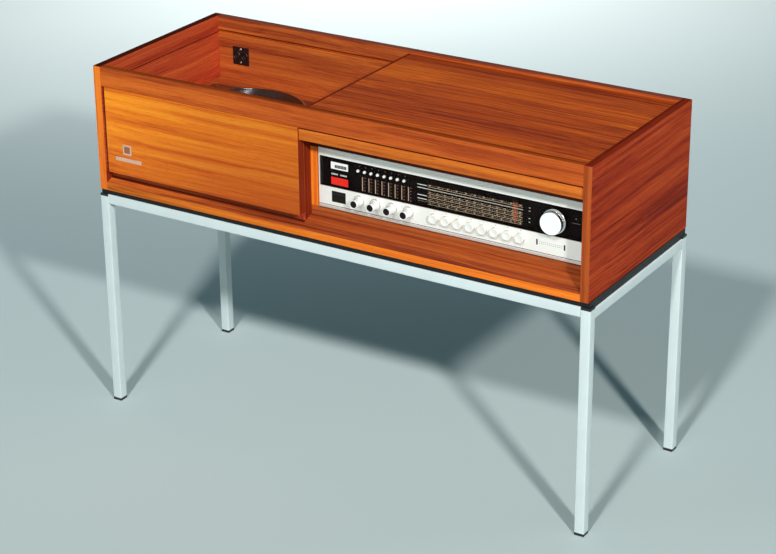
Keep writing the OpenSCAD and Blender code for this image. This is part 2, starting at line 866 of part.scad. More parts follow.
// The black plinth ring under the case
module plinth() {
    x = [x_leg[0] + plinth_in, x_leg[1] + tube - plinth_in];
    y = [y_leg[0] + plinth_in, y_leg[1] + tube - plinth_in];
    side_w = tube - plinth_in;
    color(black)
    difference() {
        union() {
            box(x, y, [z_frame, z_case]);
            for (side = [x[0], x[1] - side_w])
                box([side, side + side_w], [y_leg[0] + tube, y_leg[1]], [z_side_rail, z_frame + EPS]);
        }
        box(
            [x[0] + plinth_w, x[1] - plinth_w],
            [y[0] + plinth_w, y[1] - plinth_w],
            [z_side_rail - 1, z_case + 1]
        );
        screw_holes(z_frame, 0);
        screw_holes(z_frame, 1);
    }
}

// Square tube of a given length along Z
module tube_z(z) {
    difference() {
        box([0, tube], [0, tube], z);
        box([tube_wall, tube - tube_wall], [tube_wall, tube - tube_wall], [z[0] - 1, z[1] + 1]);
    }
}

// The four legs
module legs() {
    color(steel_paint)
    for (x = x_leg, y = y_leg)
        translate([x, y, 0]) tube_z([foot_h, z_side_rail]);
}

// The long rails with their lugs, and the side rails
module frame_rails() {
    x = [x_leg[0] + tube, x_leg[1]];
    y = [y_leg[0] + tube, y_leg[1]];
    wall = [tube_wall, tube - tube_wall];
    color(steel_paint)
    difference() {
        union() {
            for (yr = y_leg) difference() {
                box(x, [yr, yr + tube], [z_frame - tube, z_frame]);
                box(
                    [x[0] - 1, x[1] + 1],
                    [yr + wall[0], yr + wall[1]],
                    [z_frame - wall[1], z_frame - wall[0]]
                );
            }
            for (xr = x_leg) difference() {
                box([xr, xr + tube], y, [z_side_rail - tube, z_side_rail]);
                box(
                    [xr + wall[0], xr + wall[1]],
                    [y[0] - 1, y[1] + 1],
                    [z_side_rail - wall[1], z_side_rail - wall[0]]
                );
            }
            for (xl = x_lug, yl = y_lug)
                box(
                    [xl - lug_w / 2, xl + lug_w / 2],
                    [yl, yl + lug_d],
                    [z_frame - lug_t, z_frame]
                );
        }
        screw_holes(z_frame - lug_t, 0);
        screw_holes(z_frame - lug_t, 1);
    }
}

// The square plugs: a foot under each leg and a cap on each leg's top
module tube_caps() {
    plug = [tube_wall + plug_play, tube - tube_wall - plug_play];
    color(black)
    for (x = x_leg, y = y_leg) translate([x, y, 0]) {
        union() {
            box([0, tube], [0, tube], [0, foot_h]);
            box(plug, plug, [foot_h - EPS, foot_h + plug_len]);
        }
        union() {
            box([0, tube], [0, tube], [z_side_rail, z_frame]);
            box(plug, plug, [z_side_rail - plug_len, z_side_rail + EPS]);
        }
    }
}

// Clearance holes for one row of frame screws, from a level upwards
module screw_holes(z, row) {
    for (x = x_lug)
        bar_z(screw_r + screw_play, x, y_screw[row], [z - 1, z_case + screw_bite + 1]);
}

// The screws that hold the frame and the case together
module frame_screws() {
    under = z_frame - lug_t;
    color(grey_metal)
    for (x = x_lug, y = y_screw) union() {
        bar_z(screw_head_r, x, y, [under - screw_head_h, under]);
        bar_z(screw_r, x, y, [under - EPS, z_case + screw_bite]);
    }
}

// The vented rear cover, with a gap for the connectors
module rear_cover() {
    x = [x_radio[0] + cover_in + cover_play, x_radio[1] - cover_in - cover_play];
    z = [z_case + cover_foot + cover_play, z_case + cover_foot + cover_h - cover_play];
    slot_x = (x[0] + x[1]) / 2 - (slots - 1) * slot_pitch / 2 - slot_w / 2;
    color(wood_dark)
    difference() {
        box(x, [y_back - cover_t, y_back], z);
        for (i = [0:slots - 1], up = [1, 2])
            translate([slot_x + i * slot_pitch, y_back - cover_t - 1, z[1] - up * (slot_h + slot_pitch)])
                cube([slot_w, cover_t + 2, slot_h]);
        box(
            [x_chassis[0] + ports_in, x_chassis[0] + ports_in + ports_w],
            [y_back - cover_t - 1, y_back + 1],
            [z_floor + ports_up, z_floor + ports_up + ports_h]
        );
    }
}

// One round socket hole through a connector plate
module socket_hole(x, y, z) {
    bar_y(socket_r, x, [y - 1, y + ports_t + 1], z);
}

// The connector plate behind the receiver, and the socket plate in the record bay
module socket_plates() {
    x0 = x_chassis[0] + ports_in;
    y0 = y_chassis[1];
    z0 = z_floor + ports_up;
    z_mid = z0 + ports_h / 2;
    x_inlet = x0 + ports_w - inlet_w;
    out_x = x_bay[0] + outlet_in;
    out_z = z_rim - outlet_drop - outlet_h;
    color(black) {
        difference() {
            box([x0, x0 + ports_w], [y0, y0 + ports_t], [z0, z0 + ports_h]);
            for (i = [1:5])
                socket_hole(x0 + (i - 0.5) * socket_pitch, y0, z_mid);
            box(
                [x_inlet - inlet_w / 2, x_inlet + inlet_w / 2],
                [y0 + inlet_floor, y0 + ports_t + 1],
                [z_mid - inlet_h / 2, z_mid + inlet_h / 2]
            );
        }
        for (dx = [-1, 1])
            bar_y(
                inlet_pin_r,
                x_inlet + dx * inlet_pin_pitch / 2,
                [y0 + inlet_floor - EPS, y0 + ports_t],
                z_mid
            );
        difference() {
            box([out_x, out_x + outlet_w], [y_wall - ports_t, y_wall], [out_z, out_z + outlet_h]);
            for (dx = [-1, 1])
                socket_hole(
                    out_x + (outlet_w + dx * socket_pair) / 2,
                    y_wall - ports_t,
                    out_z + outlet_h / 2
                );
        }
    }
}

// Holes for every control shaft through a sheet that spans a stretch of Y
module shaft_holes(y) {
    for (i = [1:KNOBS])
        bar_y(knob_shaft_r + shaft_play, knob_x(i), y, z_row);
    for (i = [1:BUTTONS])
        bar_y(button_stem_r + shaft_play, button_x(i), y, z_row);
    for (i = [1:PRESETS])
        bar_y(preset_shaft_r + shaft_play, preset_x(i), y, preset_z);
    bar_y(tuning_shaft_r + shaft_play, tuning_x, y, tuning_z);
}

// The open steel chassis: floor, walls and the dial's back wall
module receiver_chassis() {
    x_in = [x_chassis[0] + sheet_t, x_chassis[1] - sheet_t];
    color(grey_metal)
    difference() {
        box(x_chassis, y_chassis, z_chassis);
        box(x_in, [y_chassis[0] - 1, y_dial], [z_floor, z_chassis[1] + 1]);
        box(x_in, [y_dial + sheet_t, y_chassis[1] - sheet_t], [z_floor, z_chassis[1] + 1]);
        shaft_holes([y_dial - 1, y_dial + sheet_t + 1]);
    }
}

// The metal fascia with its glass opening, meter window and control holes
module fascia_plate() {
    color(silver)
    difference() {
        union() {
            box(x_fascia, [y_fascia, y_fascia + fascia_t], [z_fascia, z_fascia_top]);
            box(
                x_fascia,
                [y_fascia - base_bead, y_fascia + EPS],
                [z_fascia + base_bead, z_panel_band - base_bead]
            );
        }
        box(
            [x_fascia[0] + end_strip, x_fascia[1] - end_strip],
            [y_fascia - 1, y_fascia + fascia_t + 1],
            [z_glass, z_glass + glass_h]
        );
        box(
            [x_fascia[0] + meter_in, x_fascia[0] + meter_in + meter_w],
            [y_fascia - 1, y_fascia + fascia_t + 1],
            [z_panel_band + meter_up, z_panel_band + meter_up + meter_h]
        );
        for (i = [1:KNOBS])
            bar_y(knob_shaft_r + shaft_play, knob_x(i), [y_fascia - 1, y_fascia + fascia_t + 1], z_row);
        for (i = [1:BUTTONS])
            bar_y(button_r + button_play, button_x(i), [y_fascia - 1, y_fascia + fascia_t + 1], z_row);
    }
}

// The dark dial glass
module dial_glass() {
    through = [y_fascia - 1, y_fascia + fascia_t + 1];
    color(black)
    difference() {
        box(
            [x_fascia[0] + end_strip + window_play, x_fascia[1] - end_strip - window_play],
            [y_fascia, y_fascia + fascia_t],
            [z_glass + window_play, z_glass + glass_h - window_play]
        );
        for (i = [1:PRESETS])
            bar_y(preset_shaft_r + shaft_play, preset_x(i), through, preset_z);
        bar_y(tuning_shaft_r + shaft_play, tuning_x, through, tuning_z);
    }
}

// The meter window, the red lens and the blank plate
module fascia_windows() {
    x_lens = [x_fascia[0] + lens_in, x_fascia[0] + lens_in + lens_w];
    y_lens = [y_fascia - lens_t, y_fascia];
    x_meter = [x_fascia[0] + meter_in, x_fascia[0] + meter_in + meter_w];
    z_meter = [z_panel_band + meter_up, z_panel_band + meter_up + meter_h];
    y_meter = y_fascia + fascia_t;
    color(black)
    union() {
        box(
            [x_meter[0] + window_play, x_meter[1] - window_play],
            [y_fascia + meter_set, y_meter + EPS],
            [z_meter[0] + window_play, z_meter[1] - window_play]
        );
        box(
            [x_meter[0] - meter_flange, x_meter[1] + meter_flange],
            [y_meter, y_meter + meter_flange],
            [z_meter[0] - meter_flange, z_meter[1] + meter_flange]
        );
    }
    color(red)
    box(x_lens, y_lens, [z_glass + lens_up, z_glass + lens_up + lens_h]);
    color(white)
    box(x_lens, y_lens, [z_glass + plate_up, z_glass + plate_up + plate_h]);
}

// The circuit board on its stand-offs, with its tall parts
module circuit_board() {
    x0 = x_chassis[0] + board_in;
    y0 = y_dial + sheet_t + board_back;
    x_mid = x0 + board_w / 2;
    y_end = y0 + board_d;
    z0 = z_floor + standoff_h;
    top = z0 + board_t;
    feet_x = [x0 + standoff_in, x0 + board_w - standoff_in];
    feet_y = [y0 + standoff_in, y_end - standoff_in];
    color(board_green)
    union() {
        box([x0, x0 + board_w], [y0, y_end], [z0, top]);
        for (x = feet_x, y = feet_y)
            bar_z(standoff_r, x, y, [z_floor, z0 + EPS]);
        for (i = [-1.5:1.5])
            bar_z(cap_r, x_mid + i * can_pitch, y_end - can_pitch, [top - EPS, top + cap_h]);
        for (i = [-2.5:2.5])
            translate([x_mid + i * can_pitch - coil_can / 2, y0 + can_pitch, top - EPS])
                cube([coil_can, coil_can, coil_can]);
        box([x_mid - sink_w / 2, x_mid + sink_w / 2], [y_end - sink_d, y_end], [top - EPS, top + cap_h]);
    }
}

// The mains transformer: a core stack round a winding
module power_transformer() {
    x = [x_chassis[1] - core_in - core_w, x_chassis[1] - core_in];
    y = y_chassis[1] - sheet_t - core_in - core_d;
    y_mid = y + core_d / 2;
    color(copper)
    union() {
        box(x, [y_mid - core_stack / 2, y_mid + core_stack / 2], [z_floor, z_floor + core_h]);
        box(
            [x[0] + core_limb, x[1] - core_limb],
            [y, y + core_d],
            [z_floor + core_limb, z_floor + core_h - core_limb]
        );
    }
}

// The deck board with its battens and the cut-out under the player
module deck_board() {
    x = [x_bay[0] + deck_play, x_bay[1] - deck_play];
    y = [y_inner + deck_play, y_wall - deck_play];
    under = z_deck - deck_t;
    cut_x = plate_w / 2 - cutout_in;
    cut_y = plate_d / 2 - cutout_in;
    color(wood_side)
    difference() {
        union() {
            box(x, y, [under, z_deck]);
            box([x_bay[0], x_bay[0] + batten_w], y, [under - batten_h, under + EPS]);
            box([x_bay[1] - batten_w, x_bay[1]], y, [under - batten_h, under + EPS]);
        }
        box(
            [x_plate - cut_x, x_plate + cut_x],
            [y_plate - cut_y, y_plate + cut_y],
            [under - batten_h - 1, z_deck + 1]
        );
    }
}

// The player's pressed base plate with round corners and its shaft holes
module player_plate() {
    x = [x_plate - plate_w / 2, x_plate + plate_w / 2];
    y = [y_plate - plate_d / 2, y_plate + plate_d / 2];
    z = [z_deck, z_plate];
    hole = [z_deck - 1, z_plate + 1];
    idler = drive_xy(idler_reach);
    pulley = drive_xy(pulley_reach);
    color(deck_grey)
    difference() {
        union() {
            box([x[0] + plate_r, x[1] - plate_r], y, z);
            box(x, [y[0] + plate_r, y[1] - plate_r], z);
            for (cx = [x[0] + plate_r, x[1] - plate_r], cy = [y[0] + plate_r, y[1] - plate_r])
                bar_z(plate_r, cx, cy, z);
        }
        bar_z(stem_r + pin_play, x_platter, y_platter, hole);
        bar_z(idler_axle_r + pin_play, idler[0], idler[1], hole);
        bar_z(pulley_r + pulley_hole, pulley[0], pulley[1], hole);
        for (lx = [speed_right, start_right])
            bar_z(lever_shaft_r + pin_play, x_plate + lx, y[0] + lever_in, hole);
    }
}

// The record spindle with its bearing post, thrust flange and stem
module spindle() {
    tip = spindle_r;
    color(silver)
    translate([x_platter, y_platter, 0])
    rotate_extrude()
    polygon([
        [0, z_deck - stem_len],
        [stem_r, z_deck - stem_len],
        [stem_r, z_plate],
        [flange_r, z_plate],
        [flange_r, z_plate + flange_t],
        [post_r, z_plate + flange_t],
        [post_r, z_mat],
        [spindle_r, z_mat],
        [spindle_r, z_mat + spindle_h],
        [spindle_r / 3, z_mat + spindle_h + tip],
        [0, z_mat + spindle_h + tip]
    ]);
}

// The platter: rim, web and hub
module platter() {
    hub_z = z_plate + flange_t + post_play;
    color(grey_metal)
    translate([x_platter, y_platter, 0])
    rotate_extrude()
    polygon([
        [post_r + post_play, hub_z],
        [hub_r, hub_z],
        [hub_r, z_web],
        [groove_r, z_web],
        [groove_r, z_platter[0]],
        [platter_r, z_platter[0]],
        [platter_r, z_platter[1] - rim_chamfer],
        [platter_r - rim_chamfer, z_platter[1]],
        [mat_r + mat_play, z_platter[1]],
        [mat_r + mat_play, z_web + platter_web],
        [post_r + post_play, z_web + platter_web]
    ]);
}

// The rubber mat
module platter_mat() {
    color(rubber)
    translate([x_platter, y_platter, 0])
    difference() {
        bar_z(mat_r, 0, 0, [z_web + platter_web, z_mat]);
        bar_z(post_r + mat_play, 0, 0, [z_web, z_mat + 1]);
    }
}

// The idler wheel and its axle, which turn inside the platter's rim
module idler_wheel() {
    at = drive_xy(idler_reach);
    color(rubber)
    union() {
        bar_z(idler_r, at[0], at[1], [z_idler, z_idler + idler_t]);
        bar_z(idler_axle_r + pulley_lip, at[0], at[1], [z_plate + pin_play, z_idler + EPS]);
        bar_z(idler_axle_r, at[0], at[1], [z_deck - shaft_drop, z_plate + pin_play + EPS]);
    }
}

// The pulley on the motor's shaft
module motor_pulley() {
    at = drive_xy(pulley_reach);
    color(silver)
    union() {
        bar_z(pulley_r, at[0], at[1], [z_idler - pulley_lip, z_idler + idler_t + pulley_lip]);
        bar_z(motor_shaft_r, at[0], at[1], [z_deck - motor_post_h - motor_h / 2, z_idler]);
    }
}

// The motor, hung from the base plate on three posts
module motor() {
    at = drive_xy(pulley_reach);
    top = z_deck - motor_post_h;
    color(grey_metal)
    difference() {
        union() {
            bar_z(motor_r, at[0], at[1], [top - motor_h, top]);
            for (i = [0:2])
                bar_z(
                    motor_post_r,
                    at[0] + motor_post_pcd_r * cos(drive_angle + 60 + 120 * i),
                    at[1] + motor_post_pcd_r * sin(drive_angle + 60 + 120 * i),
                    [top - EPS, z_deck]
                );
        }
        bar_z(motor_shaft_r + pin_play, at[0], at[1], [top - motor_h / 2 - 1, z_deck]);
    }
}

// The pedestal of the tonearm, and the post that the arm rests on
module arm_pedestal() {
    y_rest = y_pivot - rest_reach;
    z_rest = z_arm - arm_r - rest_gap;
    shelf = arm_r + rest_gap;
    color(grey_metal) {
        difference() {
            union() {
                bar_z(pedestal_r, x_pivot, y_pivot, [z_plate, z_plate + pedestal_foot]);
                bar_z(column_r, x_pivot, y_pivot, [z_plate, z_pedestal]);
            }
            bar_z(
                swivel_r + pin_play,
                x_pivot,
                y_pivot,
                [z_pedestal - swivel_len - 1, z_pedestal + 1]
            );
        }
        union() {
            bar_z(rest_r, x_pivot, y_rest, [z_plate, z_rest]);
            box(
                [x_pivot - shelf, x_pivot + shelf + rest_r],
                [y_rest - rest_r, y_rest + rest_r],
                [z_rest - rest_r, z_rest]
            );
            box(
                [x_pivot + shelf, x_pivot + shelf + rest_r],
                [y_rest - rest_r, y_rest + rest_r],
                [z_rest - EPS, z_arm + rest_r]
            );
        }
    }
}

// The swivel that carries the tonearm on two cheeks
module arm_swivel() {
    base = z_pedestal + pin_play;
    outer = cheek_gap / 2 + cheek_t;
    color(silver)
    difference() {
        union() {
            bar_z(swivel_r, x_pivot, y_pivot, [z_pedestal - swivel_len, base + EPS]);
            bar_z(outer, x_pivot, y_pivot, [base, base + swivel_base]);
            for (x = [x_pivot - outer, x_pivot + outer - cheek_t])
                box(
                    [x, x + cheek_t],
                    [y_pivot - cheek_w / 2, y_pivot + cheek_w / 2],
                    [base + swivel_base / 2, z_arm + cheek_w / 2]
                );
        }
        bar_x(
            tilt_pin_r + pin_play,
            [x_pivot - outer - 1, x_pivot + outer + 1],
            y_pivot,
            z_arm
        );
    }
}

// The arm tube with its hub, tilt pin and counterweight
module tonearm() {
    hub = cheek_gap / 2 - rest_gap;
    outer = cheek_gap / 2 + cheek_t;
    tail = y_pivot + arm_tail;
    color(silver)
    union() {
        bar_y(arm_r, x_pivot, [y_pivot - arm_len, tail], z_arm);
        bar_x(arm_r + 1, [x_pivot - hub, x_pivot + hub], y_pivot, z_arm);
        bar_x(tilt_pin_r, [x_pivot - outer, x_pivot + outer], y_pivot, z_arm);
        bar_y(weight_r, x_pivot, [tail - weight_len, tail], z_arm);
    }
}

// The head shell with its pickup and stylus
module headshell() {
    y = [y_pivot - head_end, y_pivot - arm_len + arm_r];
    z_hollow = z_arm + arm_r + shell_wall;
    z_low = z_arm - arm_r - shell_wall;
    z_tip = z_mat + stylus_gap;
    z_pickup = z_tip + stylus_h;
    y_pickup = y[0] + shell_t;
    color(black)
    union() {
        difference() {
            box([x_pivot - shell_w / 2, x_pivot + shell_w / 2], y, [z_low, z_hollow + shell_t]);
            box(
                [x_pivot - shell_w / 2 + shell_t, x_pivot + shell_w / 2 - shell_t],
                [y[0] + shell_t, y_pivot - arm_len],
                [z_low - 1, z_hollow]
            );
            bar_y(arm_r, x_pivot, [y_pivot - arm_len - 1, y[1] + 1], z_arm);
        }
        box(
            [x_pivot - pickup_w / 2, x_pivot + pickup_w / 2],
            [y_pickup, y_pickup + pickup_len],
            [z_pickup, z_hollow + EPS]
        );
        translate([x_pivot, y_pickup + pickup_len / 3, z_tip])
            cylinder(r1 = stylus_r / 4, r2 = stylus_r, h = stylus_h + EPS);
    }
}

// A lever on the base plate: a disc, a handle towards the front and a shaft
module lever(right, handle_h) {
    x = x_plate + right;
    y = y_plate - plate_d / 2 + lever_in;
    z = z_plate + pin_play;
    union() {
        bar_z(lever_r, x, y, [z, z + lever_t]);
        box([x - lever_w / 2, x + lever_w / 2], [y - lever_reach, y], [z, z + lever_t]);
        box(
            [x - lever_w / 2, x + lever_w / 2],
            [y - lever_reach, y - lever_reach + lever_w],
            [z, z + lever_t + handle_h]
        );
        bar_z(lever_shaft_r, x, y, [z_deck - shaft_drop, z + EPS]);
    }
}

// The speed lever
module speed_lever() {
    color(black) lever(speed_right, handle_h);
}

// The start and stop lever
module start_lever() {
    color(silver) lever(start_right, handle_h);
}

// The dial pointer on its carriage, which slides behind the glass
module dial_pointer() {
    y = [y_dial - carriage_t - rest_gap, y_dial - rest_gap];
    color(orange)
    union() {
        box(
            [pointer_x - pointer_w / 2, pointer_x + pointer_w / 2],
            [y[0], y[0] + pointer_t],
            z_pointer
        );
        box(
            [pointer_x - carriage_w / 2, pointer_x + carriage_w / 2],
            y,
            [z_pointer[1] - carriage_h, z_pointer[1]]
        );
    }
}

// The tuning knob: disc, flange and shaft
module tuning_knob() {
    back = y_fascia - knob_gap;
    front = y_fascia - tuning_out;
    color(silver)
    union() {
        bar_y(tuning_r, tuning_x, [front, back], tuning_z);
        bar_y(tuning_flange_r, tuning_x, [back - tuning_flange_t, back], tuning_z);
        bar_y(tuning_shaft_r, tuning_x, [back - EPS, y_shaft_end], tuning_z);
    }
}

// One of the four control knobs, tapered to its rim, with a dark front cap
module control_knob(i) {
    back = y_fascia - knob_gap;
    front = y_fascia - knob_out;
    mid = (back + front) / 2;
    color(silver)
    union() {
        translate([knob_x(i), front, z_row]) rotate([-90, 0, 0])
            cylinder(r1 = knob_front_r, r2 = knob_r, h = mid - front);
        bar_y(knob_r, knob_x(i), [mid - EPS, back], z_row);
        bar_y(knob_cap_r, knob_x(i), [front - knob_cap_out, front + EPS], z_row);
        bar_y(knob_shaft_r, knob_x(i), [back - EPS, y_shaft_end], z_row);
    }
}

// One of the eight push buttons with a hollowed face and a guide stem
module push_button(i) {
    front = y_fascia - button_out;
    reach = sqrt(button_dish_r * button_dish_r - pow(button_dish_r - button_dish, 2));
    color(white)
    difference() {
        union() {
            bar_y(button_r, button_x(i), [front, y_fascia + fascia_t], z_row);
            bar_y(button_stem_r, button_x(i), [y_fascia, y_shaft_end], z_row);
        }
        translate([button_x(i), front + button_dish - button_dish_r, z_row])
            sphere(r = button_dish_r);
    }
}

// One of the eight preset knobs
module preset_knob(i) {
    back = y_fascia - knob_gap;
    color(white)
    union() {
        bar_y(preset_r, preset_x(i), [y_fascia - preset_out, back], preset_z);
        bar_y(preset_shaft_r, preset_x(i), [back - EPS, y_shaft_end], preset_z);
    }
}

side_panels();
back_panel();
bottom_board();
bottom_rail();
top_rail();
front_panel();
inner_front_wall();
partition();
fixed_top();
radio_surround();
plinth();
legs();
frame_rails();
tube_caps();
frame_screws();
rear_cover();
socket_plates();
receiver_chassis();
fascia_plate();
dial_glass();
fascia_windows();
circuit_board();
power_transformer();
deck_board();
player_plate();
spindle();
motor();
arm_pedestal();
lid();
platter();
platter_mat();
idler_wheel();
motor_pulley();
arm_swivel();
tonearm();
headshell();
speed_lever();
start_lever();
dial_pointer();
tuning_knob();
for (i = [1:KNOBS])
    control_knob(i);
for (i = [1:BUTTONS])
    push_button(i);
for (i = [1:PRESETS])
    preset_knob(i);
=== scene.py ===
import math
from collections import namedtuple

import bmesh
import bpy
from mathutils import Matrix, Vector


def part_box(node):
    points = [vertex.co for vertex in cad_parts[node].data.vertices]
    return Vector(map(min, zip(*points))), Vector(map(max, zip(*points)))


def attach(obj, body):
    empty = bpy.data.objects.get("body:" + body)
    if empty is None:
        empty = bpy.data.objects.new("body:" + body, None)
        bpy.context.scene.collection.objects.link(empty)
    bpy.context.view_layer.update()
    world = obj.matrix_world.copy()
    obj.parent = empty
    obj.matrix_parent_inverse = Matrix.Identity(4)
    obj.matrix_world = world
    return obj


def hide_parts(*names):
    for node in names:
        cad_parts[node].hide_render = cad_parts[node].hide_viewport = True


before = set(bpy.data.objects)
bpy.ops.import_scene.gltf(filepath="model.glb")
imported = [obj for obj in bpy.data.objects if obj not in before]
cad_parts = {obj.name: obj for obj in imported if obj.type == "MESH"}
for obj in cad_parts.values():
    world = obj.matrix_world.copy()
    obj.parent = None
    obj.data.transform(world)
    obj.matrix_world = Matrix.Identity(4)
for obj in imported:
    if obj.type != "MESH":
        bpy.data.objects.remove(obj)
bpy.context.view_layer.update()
MM = 0.001
ROOT = "cabinet"
X, Y, Z = 0, 1, 2
M = {}
Limits = namedtuple("Limits", "lo hi")


# Colours and shader building
def srgb(*colour):
    out = []
    for c in colour:
        c /= 255
        out.append(c / 12.92 if c <= 0.04045 else ((c + 0.055) / 1.055) ** 2.4)
    return (*out, 1.0)


def times(colour, factor):
    return (*(min(1, c * factor) for c in colour[:3]), 1)


class Shader:
    """A material under its name in M, with short ways to add and link nodes."""

    def __init__(self, name, **values):
        self.mat = M[name] = bpy.data.materials.new(name)
        self.mat.use_nodes = True
        self.tree = self.mat.node_tree
        self.bsdf = self.tree.nodes["Principled BSDF"]
        self.set(self.bsdf, **values)

    def set(self, node, **values):
        for key, value in values.items():
            node.inputs[key.replace("_", " ")].default_value = value

    def add(self, kind, props=None, **values):
        node = self.tree.nodes.new("ShaderNode" + kind)
        for key, value in (props or {}).items():
            setattr(node, key, value)
        self.set(node, **values)
        return node

    def link(self, out, into):
        self.tree.links.new(out, into)

    def feed(self, value, socket):
        if isinstance(value, bpy.types.NodeSocket):
            self.link(value, socket)
        else:
            socket.default_value = value

    def place(self):
        return self.add("TexCoord").outputs["Object"]

    def coords(self, scale=(1, 1, 1), shift=(0, 0, 0), source=None):
        mapping = self.add("Mapping", Scale=scale, Location=shift)
        self.link(source or self.place(), mapping.inputs["Vector"])
        return mapping.outputs["Vector"]

    def noise(self, vector, scale=1.0, detail=3.0, rough=0.5):
        node = self.add("TexNoise", Scale=scale, Detail=detail, Roughness=rough)
        self.link(vector, node.inputs["Vector"])
        return node.outputs["Fac"]

    def ramp(self, value, stops):
        node = self.add("ValToRGB")
        points = node.color_ramp.elements
        while len(points) < len(stops):
            points.new(0.5)
        for point, (at, colour) in zip(points, stops):
            point.position = at
            point.color = colour if hasattr(colour, "__len__") else (colour, colour, colour, 1)
        self.link(value, node.inputs["Fac"])
        return node.outputs["Color"]

    def mix(self, a, b, factor, mode="MIX"):
        node = self.add("Mix", {"data_type": "RGBA", "blend_type": mode})
        for value, index in ((factor, 0), (a, 6), (b, 7)):
            self.feed(value, node.inputs[index])
        return node.outputs[2]

    def math(self, kind, a, b):
        node = self.add("Math", {"operation": kind})
        self.feed(a, node.inputs[0])
        self.feed(b, node.inputs[1])
        return node.outputs[0]

    def part(self, vector, axis):
        split = self.add("SeparateXYZ")
        self.link(vector, split.inputs[0])
        return split.outputs[axis]

    def reach(self, value, start, end):
        node = self.add("MapRange", From_Min=start, From_Max=end)
        self.link(value, node.inputs["Value"])
        return node.outputs["Result"]

    def colour(self, out):
        self.link(out, self.bsdf.inputs["Base Color"])

    def rough(self, out):
        self.link(out, self.bsdf.inputs["Roughness"])

    def bump(self, height, strength=0.2, distance=0.0001):
        node = self.add("Bump", Strength=strength, Distance=distance)
        self.link(height, node.inputs["Height"])
        self.link(node.outputs["Normal"], self.bsdf.inputs["Normal"])


def plain(name, colour, rough=0.4, metal=0.0, mottle=0.1, grain=200, fine=None, **values):
    """An even material with a little variation in tone and gloss. fine is its bumps' scale and strength."""
    s = Shader(name, Roughness=rough, Metallic=metal, **values)
    base = srgb(*colour)
    n = s.noise(s.coords(), grain, 4)
    s.colour(s.ramp(n, ((0.3, times(base, 1 - mottle)), (0.7, times(base, 1 + mottle)))))
    s.rough(s.ramp(n, ((0.3, rough * 0.88), (0.7, min(1, rough * 1.12)))))
    if fine:
        s.bump(s.noise(s.coords(), fine[0], 3), fine[1], 0.0002)


def brushed(name, colour, scale, rough=0.3, metal=1.0, contrast=0.1, strength=0.05):
    """Metal with fine brush marks: the scale is small along the marks."""
    s = Shader(name, Roughness=rough, Metallic=metal)
    base = srgb(*colour)
    n = s.noise(s.coords(scale), 1.0, 5, 0.6)
    s.colour(s.ramp(n, ((0.3, times(base, 1 - contrast)), (0.7, base))))
    s.rough(s.ramp(n, ((0.3, rough * 0.8), (0.7, rough * 1.2))))
    s.bump(n, strength)


def spun(name, colour, centre, axis, pitch=1500, rough=0.25, metal=1.0, contrast=0.12):
    """Metal turned on a lathe: fine rings round an axis through centre, in millimetres."""
    s = Shader(name, Roughness=rough, Metallic=metal)
    keep = [float(i != axis) for i in range(3)]
    shift = [-c * MM * k for c, k in zip(centre, keep)]
    length = s.add("VectorMath", {"operation": "LENGTH"})
    s.link(s.coords(keep, shift), length.inputs[0])
    rings = s.noise(s.math("MULTIPLY", length.outputs["Value"], pitch), 1.0, 4, 0.7)
    base = srgb(*colour)
    s.colour(s.ramp(rings, ((0.35, times(base, 1 - contrast)), (0.65, base))))
    s.rough(s.ramp(rings, ((0.3, rough * 0.75), (0.7, rough * 1.25))))
    s.bump(rings, 0.08)


def veneer(name, tones, axis, shift, bands, contrast=1.0, sheen=0.12, fades=()):
    """Satin veneer with bands, ring lines, fine streaks and short pores along one axis.

    tones are its dark, middle and light colour, shift its place in the noise, and bands the noise scale
    along and across. Each of fades is (axis, from, to, tones...) and paints light and shade along the
    axis: the colour's factor moves from 1 at from through evenly spaced tones to to.
    """
    s = Shader(name, Specular_IOR_Level=sheen)
    dark, mid, light = tones
    place = s.place()

    # The grain wanders a little to both sides
    wander = 0.024
    drift = s.noise(s.coords((2.4, 2.4, 2.4), shift), 1.0, 2)
    offset = s.math("MULTIPLY", s.math("SUBTRACT", drift, 0.5), wander)
    combine = s.add("CombineXYZ")
    for i in range(3):
        if i != axis:
            s.link(offset, combine.inputs[i])
    total = s.add("VectorMath", {"operation": "ADD"})
    s.link(place, total.inputs[0])
    s.link(combine.outputs[0], total.inputs[1])

    def lines(along, across, detail, rough):
        scale = [along if i == axis else across for i in range(3)]
        return s.noise(s.coords(scale, shift, total.outputs[0]), 1.0, detail, rough)

    broad = lines(*bands, 2, 0.5)
    rings = lines(1.4, 150, 4, 0.7)
    fine = lines(7, 700, 5, 0.7)
    pores = lines(55, 1500, 2, 0.5)
    tone = s.math("ADD", s.math("MULTIPLY", broad, 0.30), s.math("MULTIPLY", rings, 0.37))
    tone = s.math("ADD", tone, s.math("MULTIPLY", fine, 0.33))
    spread = 0.14 / contrast
    deep = [c * f for c, f in zip(dark, (0.74, 0.66, 0.72))]
    body = s.ramp(tone, (
        (0.5 - 1.5 * spread, srgb(*deep)), (0.5 - 0.7 * spread, srgb(*dark)),
        (0.5, srgb(*mid)), (0.5 + spread, srgb(*light)),
    ))
    colour = s.mix(body, srgb(*[c * 0.55 for c in dark]), s.ramp(pores, ((0.60, 0.0), (0.74, 0.5))))
    for way, start, end, *steps in fades:
        steps = [(1, 1, 1), *steps]
        stops = [(i / (len(steps) - 1), (*step, 1)) for i, step in enumerate(steps)]
        colour = s.mix(colour, s.ramp(s.reach(s.part(place, way), start, end), stops), 1.0, "MULTIPLY")
    s.colour(colour)
    s.rough(s.ramp(fine, ((0.3, 0.56), (0.7, 0.44))))
    s.bump(s.math("ADD", fine, s.math("MULTIPLY", pores, -0.6)), 0.14, 0.0002)


def window_glass(name):
    s = Shader(name, Base_Color=srgb(6, 5, 5), Roughness=0.05, Alpha=0.25, IOR=1.45, Specular_IOR_Level=0.12)
    s.mat.surface_render_method = "BLENDED"


